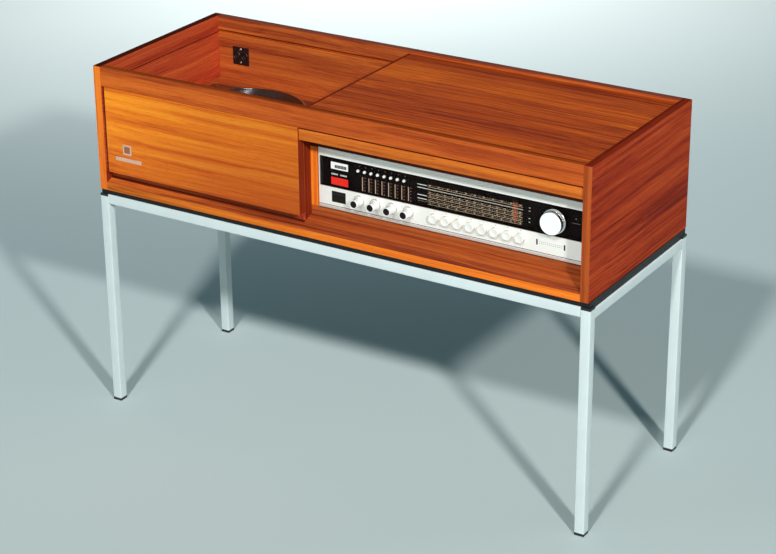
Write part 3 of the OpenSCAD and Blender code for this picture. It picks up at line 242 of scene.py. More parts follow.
# Wood
GOLDEN = (194, 84, 26), (232, 116, 31), (253, 149, 44)
TOP = (132, 43, 13), (180, 73, 18), (226, 111, 26)
# Painted fall-off of the light darkens the front and the rail towards the right. The front also darkens
# towards the bottom.
veneer("front", ((208, 98, 26), (242, 134, 31), (255, 168, 44)), X, (0.3, 0.1, 0.7), (0.9, 70), fades=(
    (X, -0.5, -0.06, (0.74, 0.64, 0.76), (0.64, 0.52, 0.70)),
    (Z, 0.64, 0.54, (0.90, 0.82, 0.96), (0.80, 0.66, 0.92)),
))
veneer("rail", ((156, 62, 23), (200, 95, 31), (226, 120, 38)), X, (2.1, 0.4, 0.2), (0.9, 40), 1.1, fades=(
    (X, -0.5, -0.1, (0.82, 0.76, 0.88)),
))
# Painted light and shade: the sill brightens towards the left and the lip darkens towards the left.
veneer("sill", ((108, 38, 20), (148, 63, 27), (184, 92, 34)), X, (5.3, 1.4, 0.9), (1.3, 46), 1.3, fades=(
    (X, -0.15, -0.5, (2.2, 2.8, 1.9)),
))
veneer("lip", ((172, 70, 22), (220, 106, 29), (242, 132, 35)), X, (5.9, 2.4, 1.9), (1, 40), fades=(
    (X, 0.1, -0.45, (0.76, 0.9, 0.86)),
))
veneer("header", ((158, 72, 25), (198, 103, 32), (222, 124, 44)), X, (4.2, 0.6, 1.9), (1, 40), 1.1)
veneer("strip", ((122, 52, 26), (166, 80, 35), (188, 96, 42)), X, (8.2, 1.6, 2.9), (1.2, 44))
# Painted shade: a near-black veneer for shaded strips in the gaps and recesses
veneer("recess_edge", ((56, 16, 8), (84, 26, 12), (112, 42, 20)), X, (1.2, 8.6, 3.9), (1.2, 44))
veneer("surround", GOLDEN, Z, (7.2, 2.6, 0.4), (1, 40), 0.9)
veneer("top", TOP, X, (1.7, 3.2, 0.5), (1.3, 15), 1.35, 0.02)
veneer("lid", TOP, X, (6.1, 0.3, 2.5), (1.3, 17), 1.3, 0.02)
# The sides' veneer is darker than the front's: painted shade on the faces that look to the side
veneer("side", ((115, 31, 17), (157, 50, 22), (190, 78, 32)), Y, (0.9, 5.3, 0.8), (1.4, 40), 1.35, 0.03)
veneer("edge", GOLDEN, Z, (3.1, 0.7, 4.2), (1, 60), 0.8)
# Painted shade: the right front edge is darker than the left one, with the same fall-off as the front
veneer("edge_right", ((132, 54, 24), (164, 74, 32), (188, 98, 44)), Z, (6.4, 1.7, 2.2), (1, 60), 0.9, 0.05)
veneer("top_edge", ((52, 18, 12), (78, 28, 16), (102, 42, 22)), Y, (3.7, 2.7, 1.2), (1, 60), 0.9, 0)
veneer("edge_top", ((84, 22, 12), (120, 38, 20), (148, 52, 26)), Y, (5.2, 1.7, 3.2), (1, 60), 0.9, 0)
veneer("rail_rim", ((112, 44, 18), (150, 65, 25), (180, 84, 32)), X, (7.7, 2.7, 1.2), (1, 60), 0.9, 0)
veneer("rail_top", ((84, 30, 16), (112, 44, 22), (136, 60, 28)), X, (4.7, 5.7, 2.2), (1, 60), 0.9, 0.04)
# Painted shade: a dark veneer for the faces in the recesses and gaps
veneer("recess_side_shade", ((96, 28, 14), (128, 42, 18), (152, 58, 26)), Z, (2.9, 4.4, 0.6), (1, 60), 0.9, 0.05)
veneer("inner", ((132, 50, 27), (176, 81, 36), (208, 110, 46)), X, (8.8, 1.1, 3.4), (1.2, 30), 1.2)
veneer("inner_side", ((156, 48, 30), (192, 72, 40), (220, 102, 52)), Y, (2.8, 7.1, 1.4), (1.3, 30), 1.2)
veneer("back", TOP, X, (9.4, 2.2, 5.1), (1.1, 30), 1.2, 0.05)
veneer("board", ((40, 22, 14), (62, 36, 22), (84, 52, 32)), X, (1.2, 1.9, 0.3), (1.2, 30), 1.2)

# Paint, plastic and print
plain("hardboard", (72, 46, 30), 0.75, grain=900, mottle=0.22, fine=(1800, 0.3))
plain("lacquer", (13, 14, 16), 0.45, grain=120, mottle=0.15, Specular_IOR_Level=0.3)
plain("enamel", (206, 217, 216), grain=25, mottle=0.025, fine=(900, 0.04), Specular_IOR_Level=0.3)
plain("foot", (18, 19, 20), 0.5, grain=300, mottle=0.12, fine=(1600, 0.12))
plain("plastic", (17, 17, 18), 0.36, fine=(2200, 0.08))
plain("gloss_black", (20, 8, 6), 0.15, grain=80, Specular_IOR_Level=0.25)
plain("ivory", (232, 231, 222), 0.22, grain=90, mottle=0.02, Coat_Weight=0.3, Coat_Roughness=0.08)
plain("white", (238, 238, 232), 0.3, grain=90, mottle=0.02)
plain("red", (224, 36, 20), 0.15, grain=70, mottle=0.05, Specular_IOR_Level=0.3)
# Painted glow for the dial pointer
plain("glow", (172, 80, 38), 0.5, mottle=0.15)
plain("orange", (245, 112, 36), 0.35, grain=70, mottle=0.03)
plain("knob", (246, 245, 240), 0.28, 0.2, grain=90, mottle=0.02)
plain("pcb", (34, 88, 46), 0.45, grain=260, mottle=0.3)
plain("deck", (104, 45, 27), 0.42, 0.1, grain=700, mottle=0.2, fine=(900, 0.3))
plain("rubber", (22, 22, 23), 0.62, grain=400, mottle=0.12, fine=(2500, 0.1))
plain("mat", (11, 9, 9), 0.22, grain=400, mottle=0.12, fine=(2500, 0.06))
plain("dark", (8, 8, 8), 0.7)
plain("dial_black", (24, 10, 8), 0.5, Specular_IOR_Level=0.2)
for ink, colour, mottle in (
    ("gold", (246, 214, 176), 0.1),
    ("print_white", (226, 226, 218), 0.04),
    ("print_brown", (172, 118, 98), 0.1),
    ("print_dim", (120, 106, 94), 0.05),
    ("plate_print", (34, 24, 24), 0.08),
    ("print_grey", (70, 70, 70), 0.05),
):
    plain(ink, colour, 0.5, grain=300, mottle=mottle)
window_glass("glass")

# Metal
brushed("panel", (246, 244, 236), (14, 500, 1500), 0.36, 0.25, 0.03, 0.02)
brushed("trim", (255, 240, 224), (10, 800, 2200), 0.3, 0.1, 0.08, 0.02)
brushed("foot_trim", (236, 214, 206), (10, 800, 2200), 0.16, 0.6, 0.1, 0.02)
brushed("badge", (230, 186, 160), (60, 900, 900), 0.4, 0.3)
brushed("badge_dark", (168, 104, 74), (60, 900, 900), 0.4, 0.3)
brushed("nickel", (206, 205, 200), (700, 700, 20), 0.2, contrast=0.05, strength=0.02)
brushed("steel", (176, 178, 176), (30, 900, 900), 0.42, contrast=0.12)
brushed("core", (74, 62, 50), (1800, 1800, 40), 0.5, 0.7, 0.3, 0.2)
plain("chrome", (222, 222, 222), 0.07, 1.0, grain=40, mottle=0.02)
plain("screw", (168, 168, 164), 0.3, 1.0, grain=500)
plain("motor", (120, 122, 122), 0.4, 0.9, grain=140, mottle=0.12)
plain("brass", (196, 158, 84), 0.25, 1.0, grain=300, mottle=0.08)
plain("copper", (150, 78, 40), 0.4, 0.6, grain=900, mottle=0.3)


# Mesh building: sizes in millimetres, materials by their names in M
def settle(obj, body=ROOT, nodes=()):
    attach(obj, body)
    if nodes:
        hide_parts(*nodes)
    return obj


def from_bmesh(bm, name, mats, smooth=None):
    bmesh.ops.recalc_face_normals(bm, faces=bm.faces)
    mesh = bpy.data.meshes.new(name)
    bm.to_mesh(mesh)
    bm.free()
    obj = bpy.data.objects.new(name, mesh)
    bpy.context.scene.collection.objects.link(obj)
    for m in (mats,) if isinstance(mats, str) else mats:
        mesh.materials.append(M[m])
    if smooth:
        mesh.shade_smooth()
        mesh.set_sharp_from_angle(angle=math.radians(smooth))
    return obj


def piece(bm, name, mats, body=ROOT, nodes=(), smooth=None):
    return settle(from_bmesh(bm, name, mats, smooth), body, nodes)


def weld(bm, dist=1e-7):
    bmesh.ops.remove_doubles(bm, verts=bm.verts, dist=dist)


def soften(bm, width, segments, least=30.0):
    """Rounds the edges that turn by more than least degrees."""
    least = math.radians(least)
    edges = [e for e in bm.edges if len(e.link_faces) == 2 and e.calc_face_angle(0.0) > least]
    if edges and width > 0:
        bmesh.ops.bevel(bm, geom=edges, offset=width * MM, segments=segments, profile=0.5, affect="EDGES",
                        clamp_overlap=True)


def dress(node, mats, body=ROOT, width=0.6, segments=2, smooth=None, parts=None, cuts=()):
    """A piece with the shape of a CAD node, its edges slightly rounded.

    parts gives a face's place in mats, from its middle and normal. cuts are (axis, level) planes where
    faces are split, so that their two sides can differ.
    """
    bm = bmesh.new()
    bm.from_mesh(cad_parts[node].data)
    weld(bm, 2e-6)
    bmesh.ops.dissolve_limit(bm, angle_limit=math.radians(0.6), verts=bm.verts, edges=bm.edges)
    soften(bm, width, segments)
    for axis, level in cuts:
        geom = list(bm.verts) + list(bm.edges) + list(bm.faces)
        normal = [float(i == axis) for i in range(3)]
        bmesh.ops.bisect_plane(bm, geom=geom, plane_co=[level * MM * n for n in normal], plane_no=normal)
    if parts:
        for face in bm.faces:
            face.material_index = parts(face.calc_center_median() / MM, face.normal)
    return piece(bm, node + "_shell", mats, body, (node,), smooth)


def box_mesh(bm, lo, hi, width=0.0, segments=2):
    part = bmesh.new()
    bmesh.ops.create_cube(part, size=1.0)
    for v in part.verts:
        v.co = Vector([(l + h) / 2 + c * (h - l) for l, h, c in zip(lo, hi, v.co)]) * MM
    soften(part, width, segments)
    temp = bpy.data.meshes.new("temp")
    part.to_mesh(temp)
    part.free()
    bm.from_mesh(temp)
    bpy.data.meshes.remove(temp)


def blocks(name, boxes, mats, body=ROOT, width=0.0, segments=1, nodes=()):
    """Boxes as one piece: each is (low corner, high corner)."""
    bm = bmesh.new()
    for lo, hi in boxes:
        box_mesh(bm, lo, hi, width, segments)
    return piece(bm, name, mats, body, nodes)


def block(name, lo, hi, mats, body=ROOT, width=0.5, segments=2, nodes=()):
    return blocks(name, [(lo, hi)], mats, body, width, segments, nodes)


def spot(axis, t, u, w):
    """The point at t along the axis, and at u and w along the other two in X, Y, Z order."""
    point = [u, w]
    point.insert(axis, t)
    return Vector(point)


def turn_mesh(bm, profile, centre, axis, count=64):
    """Turns a profile round an axis through centre. Its points are (radius, distance from centre along the
    axis), and a radius of 0 closes the end."""
    centre = Vector(centre)
    rings = []
    for r, h in profile:
        angles = [2 * math.pi * i / count for i in range(count)] if r > 0 else [0.0]
        points = [spot(axis, h, r * math.cos(a), r * math.sin(a)) for a in angles]
        rings.append([bm.verts.new((centre + point) * MM) for point in points])
    for a, b in zip(rings, rings[1:]):
        for i in range(count):
            j = (i + 1) % count
            quad = [a[i % len(a)], a[j % len(a)], b[j % len(b)], b[i % len(b)]]
            unique = list(dict.fromkeys(quad))
            if len(unique) > 2:
                bm.faces.new(unique)


def turned(name, profile, centre, axis, mats, body=ROOT, count=64, smooth=32.0, nodes=(), close=False):
    """A turned piece. With close, the profile is a closed ring clear of the axis."""
    bm = bmesh.new()
    turn_mesh(bm, [*profile, profile[0]] if close else profile, centre, axis, count)
    weld(bm)
    return piece(bm, name, mats, body, nodes, smooth)


def fluted(name, profile, centre, axis, mats, body, count, depth, smooth=32.0, nodes=()):
    """A turned piece with every third point drawn in by depth where a profile point has a third value."""
    bm = bmesh.new()
    turn_mesh(bm, [p[:2] for p in profile], centre, axis, count)
    bm.verts.ensure_lookup_table()
    at = 0
    for p in profile:
        if len(p) > 2:
            for i in range(0, count, 3):
                v = bm.verts[at + i]
                away = v.co - Vector(centre) * MM
                away[axis] = 0
                v.co -= away.normalized() * depth * MM
        at += count if p[0] > 0 else 1
    return piece(bm, name, mats, body, nodes, smooth)


def rounded(points, radius, steps=4):
    """A closed profile with every corner rounded."""
    out = []
    n = len(points)
    for i in range(n):
        p, a, b = Vector(points[i]), Vector(points[i - 1]), Vector(points[(i + 1) % n])
        da, db = a - p, b - p
        r = min(radius, da.length * 0.49, db.length * 0.49)
        s, e = p + da.normalized() * r, p + db.normalized() * r
        for k in range(steps + 1):
            t = k / steps
            out.append(tuple((1 - t) ** 2 * s + 2 * t * (1 - t) * p + t * t * e))
    return out


def prism(name, points, axis, lo, hi, mats, body=ROOT, width=0.0, smooth=None, nodes=()):
    """A closed profile, of points in the plane across the axis, run along it from lo to hi."""
    bm = bmesh.new()
    ends = [[bm.verts.new(spot(axis, t, *p) * MM) for p in points] for t in (lo, hi)]
    n = len(points)
    for i in range(n):
        j = (i + 1) % n
        bm.faces.new((ends[0][i], ends[0][j], ends[1][j], ends[1][i]))
    bm.faces.new(ends[0])
    bm.faces.new(ends[1])
    soften(bm, width, 2, 40.0)
    return piece(bm, name, mats, body, nodes, smooth)


def rectangle(u0, w0, u1, w1):
    return (u0, w0), (u1, w0), (u1, w1), (u0, w1)


def limits(node):
    """The low and high corner of a CAD node's box."""
    return Limits(*(tuple(c / MM for c in corner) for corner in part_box(node)))


# How far a print stands off the face that it is on
PRINT = 0.03


def digits(name, items, mats, axis=Y):
    """Plain numbers on a face that looks to -Y or to +Z, as one piece: each is (text, x, y, z, height)."""
    bm = bmesh.new()
    turn = Matrix.Rotation(math.radians(90), 4, "X") if axis == Y else Matrix.Identity(4)
    font_size = 1.4 * MM
    for text, x, y, z, height in items:
        curve = bpy.data.curves.new("digits", "FONT")
        curve.body = text
        curve.size = height * font_size
        curve.align_x = "CENTER"
        curve.align_y = "CENTER"
        curve.resolution_u = 2
        obj = bpy.data.objects.new("digits", curve)
        bpy.context.scene.collection.objects.link(obj)
        bpy.context.view_layer.update()
        mesh = bpy.data.meshes.new_from_object(obj)
        place = Vector((x, y - PRINT, z) if axis == Y else (x, y, z + PRINT)) * MM
        mesh.transform(Matrix.Translation(place) @ turn)
        bm.from_mesh(mesh)
        bpy.data.objects.remove(obj)
        bpy.data.curves.remove(curve)
        bpy.data.meshes.remove(mesh)
    return piece(bm, name, mats)


def screw_mesh(bm, x, y, z, r, out=1, axis=Y, high=1.4):
    """A domed head with a recess, as far out as high."""
    dome = ((1, 0), (1, 0.25), (0.86, 0.62), (0.55, 0.9), (0.42, 0.96), (0.2, 0.35), (0, 0.35))
    turn_mesh(bm, [(a * r, out * b * high) for a, b in dome], (x, y, z), axis, 24)


# Places that several pieces take from the CAD model
case, rail, panel = limits("side_panels"), limits("top_rail"), limits("front_panel")
radio, fascia, glass = limits("radio_surround"), limits("fascia_plate"), limits("dial_glass")
print_faces = glass.lo[1] - PRINT, glass.lo[1] + 0.05
panel_face = fascia.lo[1] + 1


# Case boards, with their own tone on edges, rims and inner faces, and painted shade on the right front edge
# and in the recesses
def side_parts(c, n):
    # Index 4, the right front edge, and 6, the inner faces below the front panel's foot, carry painted shade
    if n.y < -0.9:
        return 1 if c.x < 0 else 4
    if n.z > 0.9:
        return 2 if c.x < 0 else 5
    if (n.x > 0.9 and c.x < 0) or (n.x < -0.9 and c.x > 0):
        return 6 if c.z < panel.lo[2] else 3
    return 0


def is_rim(c, n):
    return n.z > 0.9 and c.z > case.hi[2] - 1


def surround_parts(c, n):
    header_depth = 20
    if c.y < radio.lo[1] + header_depth:
        return 0
    # The strip above the fascia gets painted shade, as under the header
    if c.z > fascia.hi[2] - 1:
        return 3
    return 1 if c.z < fascia.lo[2] + 0.5 else 2


def outer_boards():
    mats = "side", "edge", "top_edge", "inner_side", "edge_right", "edge_top", "recess_side_shade"
    dress("side_panels", mats, width=0.7, parts=side_parts, cuts=((Z, panel.lo[2]),))
    dress("top_rail", ("rail", "rail_rim", "inner"), width=0.7,
          parts=lambda c, n: 1 if is_rim(c, n) else (2 if n.y > 0.5 else 0))
    dress("back_panel", ("back", "rail_top", "inner"), width=0.7,
          parts=lambda c, n: 1 if is_rim(c, n) else (2 if n.y < -0.5 else 0))

    # The slope of the bottom rail carries painted shade where it runs in under the front panel
    dark = limits("bottom_rail").lo[2] + 22
    dress("bottom_rail", ("sill", "lip", "recess_edge"), width=0.8,
          parts=lambda c, n: 1 if n.y < -0.9 else (2 if c.x < panel.hi[0] and c.z > dark else 0),
          cuts=((Z, dark), (X, panel.hi[0])))
    # The panel's end faces carry painted shade
    front = dress("front_panel", ("front", "recess_side_shade"), width=0.8,
                  parts=lambda c, n: 1 if abs(n.x) > 0.98 else 0)
    carve(front, (plate_recess(*BADGE_SQUARE), plate_recess(*BADGE_BAR)))


def inner_boards():
    dress("inner_front_wall", "inner", width=0.4)
    # The partition's face towards the radio carries painted shade
    dress("partition", ("inner_side", "recess_side_shade"), width=0.4,
          parts=lambda c, n: 1 if n.x > 0.9 else 0)
    # The fixed top's end faces and a 6 mm band along its left end carry painted shade
    shade_band_end = limits("fixed_top").lo[0] + 6
    dress("fixed_top", ("top", "edge_top"), width=0.5,
          parts=lambda c, n: 1 if abs(n.x) > 0.9 or c.x < shade_band_end else 0, cuts=((X, shade_band_end),))
    dress("radio_surround", ("header", "strip", "surround", "recess_edge"), width=0.5,
          parts=surround_parts, cuts=((Z, fascia.lo[2] + 0.4), (Z, fascia.hi[2] - 0.6)))
    # The lid's pull end, left of pull_end, carries painted shade
    pull_end = -62
    dress("lid", ("lid", "top_edge"), "lid", width=0.5,
          parts=lambda c, n: 1 if c.x < pull_end else 0)
    dress("bottom_board", "board", width=0.4)
    dress("deck_board", "inner")
    dress("plinth", "lacquer", width=0.5)

    # A painted shadow line on the bay's left wall, a thin dark sheet at the level of the lid's grooves
    groove = limits("lid").lo[2]
    block("bay_shadow_line", (rail.lo[0], rail.hi[1], groove - 1.2),
          (rail.lo[0] + 0.15, limits("back_panel").lo[1], groove + 0.6), "recess_edge", width=0)


# Blank badge plates let into the front panel: left, low, right, high
BADGE_SQUARE = -487, 563, -466, 584
BADGE_BAR = -506, 548, -442, 556
BADGE_INSET = -483.5, 566.5, -469.5, 580.5


def plate_recess(x0, z0, x1, z1):
    gap, deep = 0.3, 1
    return (x0 - gap, panel.lo[1] - deep, z0 - gap), (x1 + gap, panel.lo[1] + deep, z1 + gap)


def carve(obj, boxes):
    """Cuts boxes out of a piece."""
    bm = bmesh.new()
    for lo, hi in boxes:
        box_mesh(bm, lo, hi)
    cutter = from_bmesh(bm, "cutter", "dark")
    mod = obj.modifiers.new("carve", "BOOLEAN")
    mod.operation, mod.solver, mod.object = "DIFFERENCE", "EXACT", cutter
    bpy.context.view_layer.update()
    mesh = bpy.data.meshes.new_from_object(obj.evaluated_get(bpy.context.evaluated_depsgraph_get()))
    obj.modifiers.clear()
    obj.data = mesh
    bpy.data.objects.remove(cutter)


def badge():
    y = panel.lo[1]
    for name, shape, radius, front, deep, mat in (
        ("badge_square", BADGE_SQUARE, 1.5, y, 1, "badge"),
        ("badge_inset", BADGE_INSET, 1, y - 0.02, 0.5, "badge_dark"),
        ("badge_bar", BADGE_BAR, 1.5, y, 1, "badge"),
    ):
        outline = rounded(rectangle(*shape), radius, 5)
        prism(name, outline, Y, front, front + deep, mat, width=0.35, smooth=40)


# Frame of square tube
TUBE = 20


def tube(name, u, w, axis, lo, hi, node):
    square = rounded(rectangle(u, w, u + TUBE, w + TUBE), 1.9)
    prism(name, square, axis, lo, hi, "enamel", smooth=30, nodes=(node,))


def tube_frame():
    legs, rails, screws = limits("legs"), limits("frame_rails"), limits("frame_screws")
    corners = [(x, y) for y in (legs.lo[1], legs.hi[1] - TUBE) for x in (legs.lo[0], legs.hi[0] - TUBE)]
    for i, (x, y) in enumerate(corners):
        tube(f"leg_{i + 1}", x, y, Z, legs.lo[2], legs.hi[2], "legs")
    for i, y in enumerate((rails.lo[1], rails.hi[1] - TUBE)):
        ends = rails.lo[0] + TUBE, rails.hi[0] - TUBE
        tube(f"long_rail_{i + 1}", y, rails.hi[2] - TUBE, X, *ends, "frame_rails")
    inner = rails.lo[1] + TUBE, rails.hi[1] - TUBE
    for i, x in enumerate((rails.lo[0], rails.hi[0] - TUBE)):
        tube(f"side_rail_{i + 1}", x, legs.hi[2] - TUBE, Y, *inner, "frame_rails")

    # A lug on the long rail carries each of the four screws
    head_r, head_high, shank_r = 5, 3, 2.5
    lug_side, lug_end, lug_thick = 15, 12, 3
    sides, ends = ((screws.lo[i] + head_r, screws.hi[i] - head_r) for i in (X, Y))
    places = [(x, y) for x in sides for y in ends]
    for i, (x, y) in enumerate(places):
        y0, y1 = (inner[0], y + lug_end) if y < 0 else (y - lug_end, inner[1])
        block(f"lug_{i + 1}", (x - lug_side, y0, rails.hi[2] - lug_thick), (x + lug_side, y1, rails.hi[2]),
              "enamel", width=0.6)
    top = screws.lo[2] + head_high
    end = screws.hi[2] - top
    head = (
        (2.2, -0.6), (2.6, -2.6), (4.2, -2.9), (head_r, -1.8), (head_r, 0), (shank_r, 0), (shank_r, end),
        (0, end),
    )
    bm = bmesh.new()
    for x, y in places:
        turn_mesh(bm, head, (x, y, top), Z, 32)
        turn_mesh(bm, ((0, -0.6), (2.2, -0.6)), (x, y, top), Z, 32)
    weld(bm)
    piece(bm, "screws_under", "screw", nodes=("frame_screws",), smooth=35)
    dress("tube_caps", "foot", width=0.9)


# Radio fascia
def fascia_parts(c, n):
    if c.z < fascia.lo[2] + 6.5:
        return 2
    return 1 if c.z > glass.lo[2] - 0.4 else 0


def printed(x0, z0, x1, z1, faces=print_faces):
    """The corners of a thin box between two levels of y, by default those of a print on the glass."""
    return (x0, faces[0], z0), (x1, faces[1], z1)


def dial_box():
    """The sealed box behind the glass."""
    (x0, _, z0), (x1, inside, z1) = glass
    front, back = inside + 0.1, limits("dial_pointer").hi[1] + 0.25
    blocks("dial_backing", (
        ((x0 + 0.6, back - 0.15, z0 + 0.6), (x1 - 0.6, back, z1 - 0.6)),
        ((x0 + 0.2, front, z0), (x0 + 0.6, back, z1)),
        ((x1 - 0.6, front, z0), (x1 - 0.2, back, z1)),
        ((x0 + 0.2, front, z1 - 0.5), (x1 - 0.2, back, z1 - 0.1)),
        ((x0 + 0.2, front, z0 + 0.1), (x1 - 0.2, back, z0 + 0.5)),
    ), "dial_black")


def pointer():
    lo, hi = limits("dial_pointer")
    x, y = (lo[0] + hi[0]) / 2, lo[1]
    carriage = hi[2] - 5
    block("pointer_blade", (x - 0.8, y, lo[2]), (x + 0.8, y + 1.5, carriage), "orange",
          "dial_pointer", 0.3, nodes=("dial_pointer",))
    # A painted glow of the dial light: a flat brown-orange sheet behind the blade
    block("pointer_glow_painted", (lo[0] + 1.5, y + 1.6, lo[2] + 4), (hi[0] - 1.5, y + 2, carriage - 2), "glow",
          "dial_pointer", 0.1, 1)
    blocks("pointer_carriage", (
        ((lo[0], y, carriage), hi),
        ((x - 1.6, y - 0.05, carriage - 3), (x + 1.6, y + 1.5, carriage + 0.2)),
    ), "plastic", "dial_pointer", 0.4, 2)


def windows():
    lo, hi = limits("fascia_windows")
    x0, y, x1 = lo[0] + 1, lo[1], hi[0]
    block("blank_plate", (x0, y, 610), (x1, y + 2, 624), "white", width=0.35,
          nodes=("fascia_windows",))
    bars = [x0 + 9 + 3.3 * i for i in range(8)]
    blocks("plate_bar", [printed(x, 612.8, x + 2.8, 619.2, (y - PRINT, y + 0.1)) for x in bars],
           "plate_print")
    block("red_lens", (x0, y, 578.5), (x1, y + 2, 593.5), "red", segments=3)
    ribs = [x0 + 1 + 2.25 * i for i in range(17)]
    blocks("lens_ribs", [printed(x, 579.3, x + 0.9, 592.7, (y - 0.12, y + 0.2)) for x in ribs],
           "red", width=0.1)
    dashes = [x0 + group + 3 * i for group in (1, 21) for i in range(5)]
    faces = glass.lo[1] - PRINT, glass.lo[1] + 0.1
    blocks("blank_dashes", [printed(x, 598.4, x + 1.9, 601.4, faces) for x in dashes],
           "print_white")


def meter():
    x0, z0, x1, z1 = -20, 543, 11, 565
    wall, y = 1, panel_face
    block("meter_window", (x0 + 0.3, y + 0.3, z0 + 0.3), (x1 - 0.3, y + 3, z1 - 0.3),
          "gloss_black", width=0.3)
    sides = ((x0, z0, x0 + wall, z1), (x1 - wall, z0, x1, z1),
             (x0 + wall, z0, x1 - wall, z0 + wall), (x0 + wall, z1 - wall, x1 - wall, z1))
    blocks("meter_frame", [printed(*side, (y - 0.6, y + 0.5)) for side in sides],
           "plastic", width=0.2, segments=2)
    marks = [(-16.5 + 2.6 * i, 560.5 if i % 2 else 561.5) for i in range(10)]
    blocks("meter_scale", [printed(x, 558, x + 0.4, z, (y + 0.27, y + 0.4)) for x, z in marks],
           "print_grey")


# Scales on the dial glass: (level, step of its ticks, level of its numbers, first, last, count)
SCALES = (
    (616.8, 5, 618, 88, 108, 11),
    (603.2, 4, 604.2, 52, 160, 13),
    (596.3, 6, 597.4, 15, 39, 13),
    (589.1, 5, 590.2, 6, 18, 13),
    (582.6, None, 583, 0, 100, 11),
)


def dial_scales():
    left, right = 192, 391
    rows = 616.8, 610.6, 596.3, 589.1
    white = [printed(170, z - 0.6, 190, z + 0.6) for z in rows]
    white.append(printed(190, 610.25, 392, 610.95))
    white += [printed(404, z - 0.5, 407, z + 0.5) for z in rows]
    blocks("dial_dashes", white, "print_white")
    gold = []
    for z, *rest in SCALES:
        gold.append(printed(left, z - 1.9, right, z - 1.6))
        gold.append(printed(170 if z < 583 else left, z + 1.75, right, z + 1.9))
    ticks = [(z, step) for z, step, *rest in SCALES if step]
    ticks.insert(1, (610.6, 5))
    for k in range(100):
        for z, step in ticks:
            x, tall = 193 + 2 * k, 1.5 if k % step == 0 else 0.7
            gold.append(printed(x, z - 1.6, x + 0.35, z - 1.6 + tall))
    blocks("dial_ticks", gold, "gold")
    numbers = []
    for *rest, z, first, last, count in SCALES:
        for k in range(count):
            part = k / (count - 1)
            numbers.append((f"{first + (last - first) * part:g}", 197 + 189 * part, glass.lo[1], z, 2.5))
    digits("dial_numbers", numbers, "gold")


def preset_prints():
    lines, ticks, numbers = [], [], []
    for i in range(8):
        x = limits(f"preset_knob_{i + 1}").lo[0] + 10.5
        lines.append(printed(x - 0.35, 578, x + 0.35, 606))
        for k in range(9):
            z = 579 + 3.2 * k
            ticks.append(printed(x + 0.9, z - 0.25, x + (3 if k % 2 else 2.2), z + 0.25))
        numbers += [(str(88 + 4 * k), x + 5.2, glass.lo[1], 579.2 + 6.4 * k, 2) for k in range(5)]
        numbers.append((str(i + 1), x - 7, glass.lo[1], 626, 2.6))
    blocks("preset_lines", lines, "gold")
    blocks("preset_ticks", ticks, "print_brown")
    digits("preset_numbers", numbers, "print_brown")


def panel_prints():
    faces = panel_face - PRINT, panel_face + 0.05
    blocks("panel_brackets", [printed(x, 549, x + 3.2, 560, faces) for x in (420, 476)],
           "plate_print")
    marks = [printed(x, z, x + 2.4, z + 0.6, faces) for x in range(426, 472, 4) for z in (552.6, 555.8)]
    knobs = [limits(f"control_knob_{i + 1}").lo[0] + 10 for i in range(4)]
    level, reach, half = 555.5, 12.3, 0.25
    for x in knobs:
        for k in range(11):
            a = math.radians(-150 + 30 * k)
            u, w = x + reach * math.sin(a), level + reach * math.cos(a)
            marks.append(printed(u - half, w - half, u + half, w + half, faces))
    blocks("panel_marks", marks, "print_grey")
    buttons = [limits(f"push_button_{i + 1}").lo[0] + 9 for i in range(8)]
    labels = [(str(i + 1), x, panel_face, 568.8, 2.6) for i, x in enumerate(buttons)]
    ends = ("0", -9), ("10", 9)
    labels += [(text, x + side, panel_face, 543.8, 2.2) for x in knobs for text, side in ends]
    digits("panel_numbers", labels, "print_grey")
    blocks("aerial_marks", (printed(491, 605.6, 508, 606.4), printed(498, 613.5, 500.5, 616)),
           "print_dim")
    lo, hi = fascia
    block("foot_groove", (lo[0] + 0.3, lo[1] + 0.95, lo[2] + 6.2), (hi[0] - 0.3, lo[1] + 1.1, lo[2] + 7.5),
          "dark", width=0)


outer_boards()
inner_boards()
tube_frame()
dress("fascia_plate", ("panel", "trim", "foot_trim"), width=0.25, segments=1,
      parts=fascia_parts)
dress("dial_glass", "glass", width=0.3, segments=1)
dial_box()
pointer()
windows()
meter()
dial_scales()
preset_prints()
panel_prints()


# Knobs and buttons: profiles run back from the front, and a third value marks their fluted part
def front_of(node):
    """The middle of a node's front, and its depth."""
    (x0, y0, z0), (x1, y1, z1) = limits(node)
    return ((x0 + x1) / 2, y0, (z0 + z1) / 2), y1 - y0


def ring(name, radii, high, centre, mat):
    """A bright ring that stands off the glass by high."""
    inner, lip, lip_end, outer = radii
    turned(name, (
        (inner, -1.05), (lip, -high), (lip_end, -high), (outer, -1.05), (outer, 0.4), (inner, 0.4),
    ), (centre[0], glass.lo[1], centre[2]), Y, mat, close=True)


def control_knob(name):
    centre, end = front_of(name)
    x, y, z = centre
    fluted(name + "_turned", (
        (0, 0.8), (7, 0.8), (7.3, 1.3), (7.6, 1.2), (8.2, 0.7), (8.5, 1.3), (8.6, 2.2, 1), (9.025, 16.1, 1),
        (9.5, 17.1), (9.5, 17.7), (10, 18.3), (10, 19.9), (9.6, 20.3), (3, 20.3), (3, end), (0, end),
    ), centre, Y, "knob", name, 96, 0.22, nodes=(name,))
    turned(name + "_cap", ((0, 0), (6, 0), (6.6, 0.15), (6.9, 0.5), (6.9, 1.4), (0, 1.4)),
           centre, Y, "gloss_black", name, 48)
    block(name + "_line", (x - 0.3, y + 0.9, z + 7.2), (x + 0.3, y + 16, z + 9.3),
          "print_grey", name, 0.1, 1)
    ring(name + "_ring", (10.9, 11.1, 11.5, 11.7), 1.3, centre, "chrome")


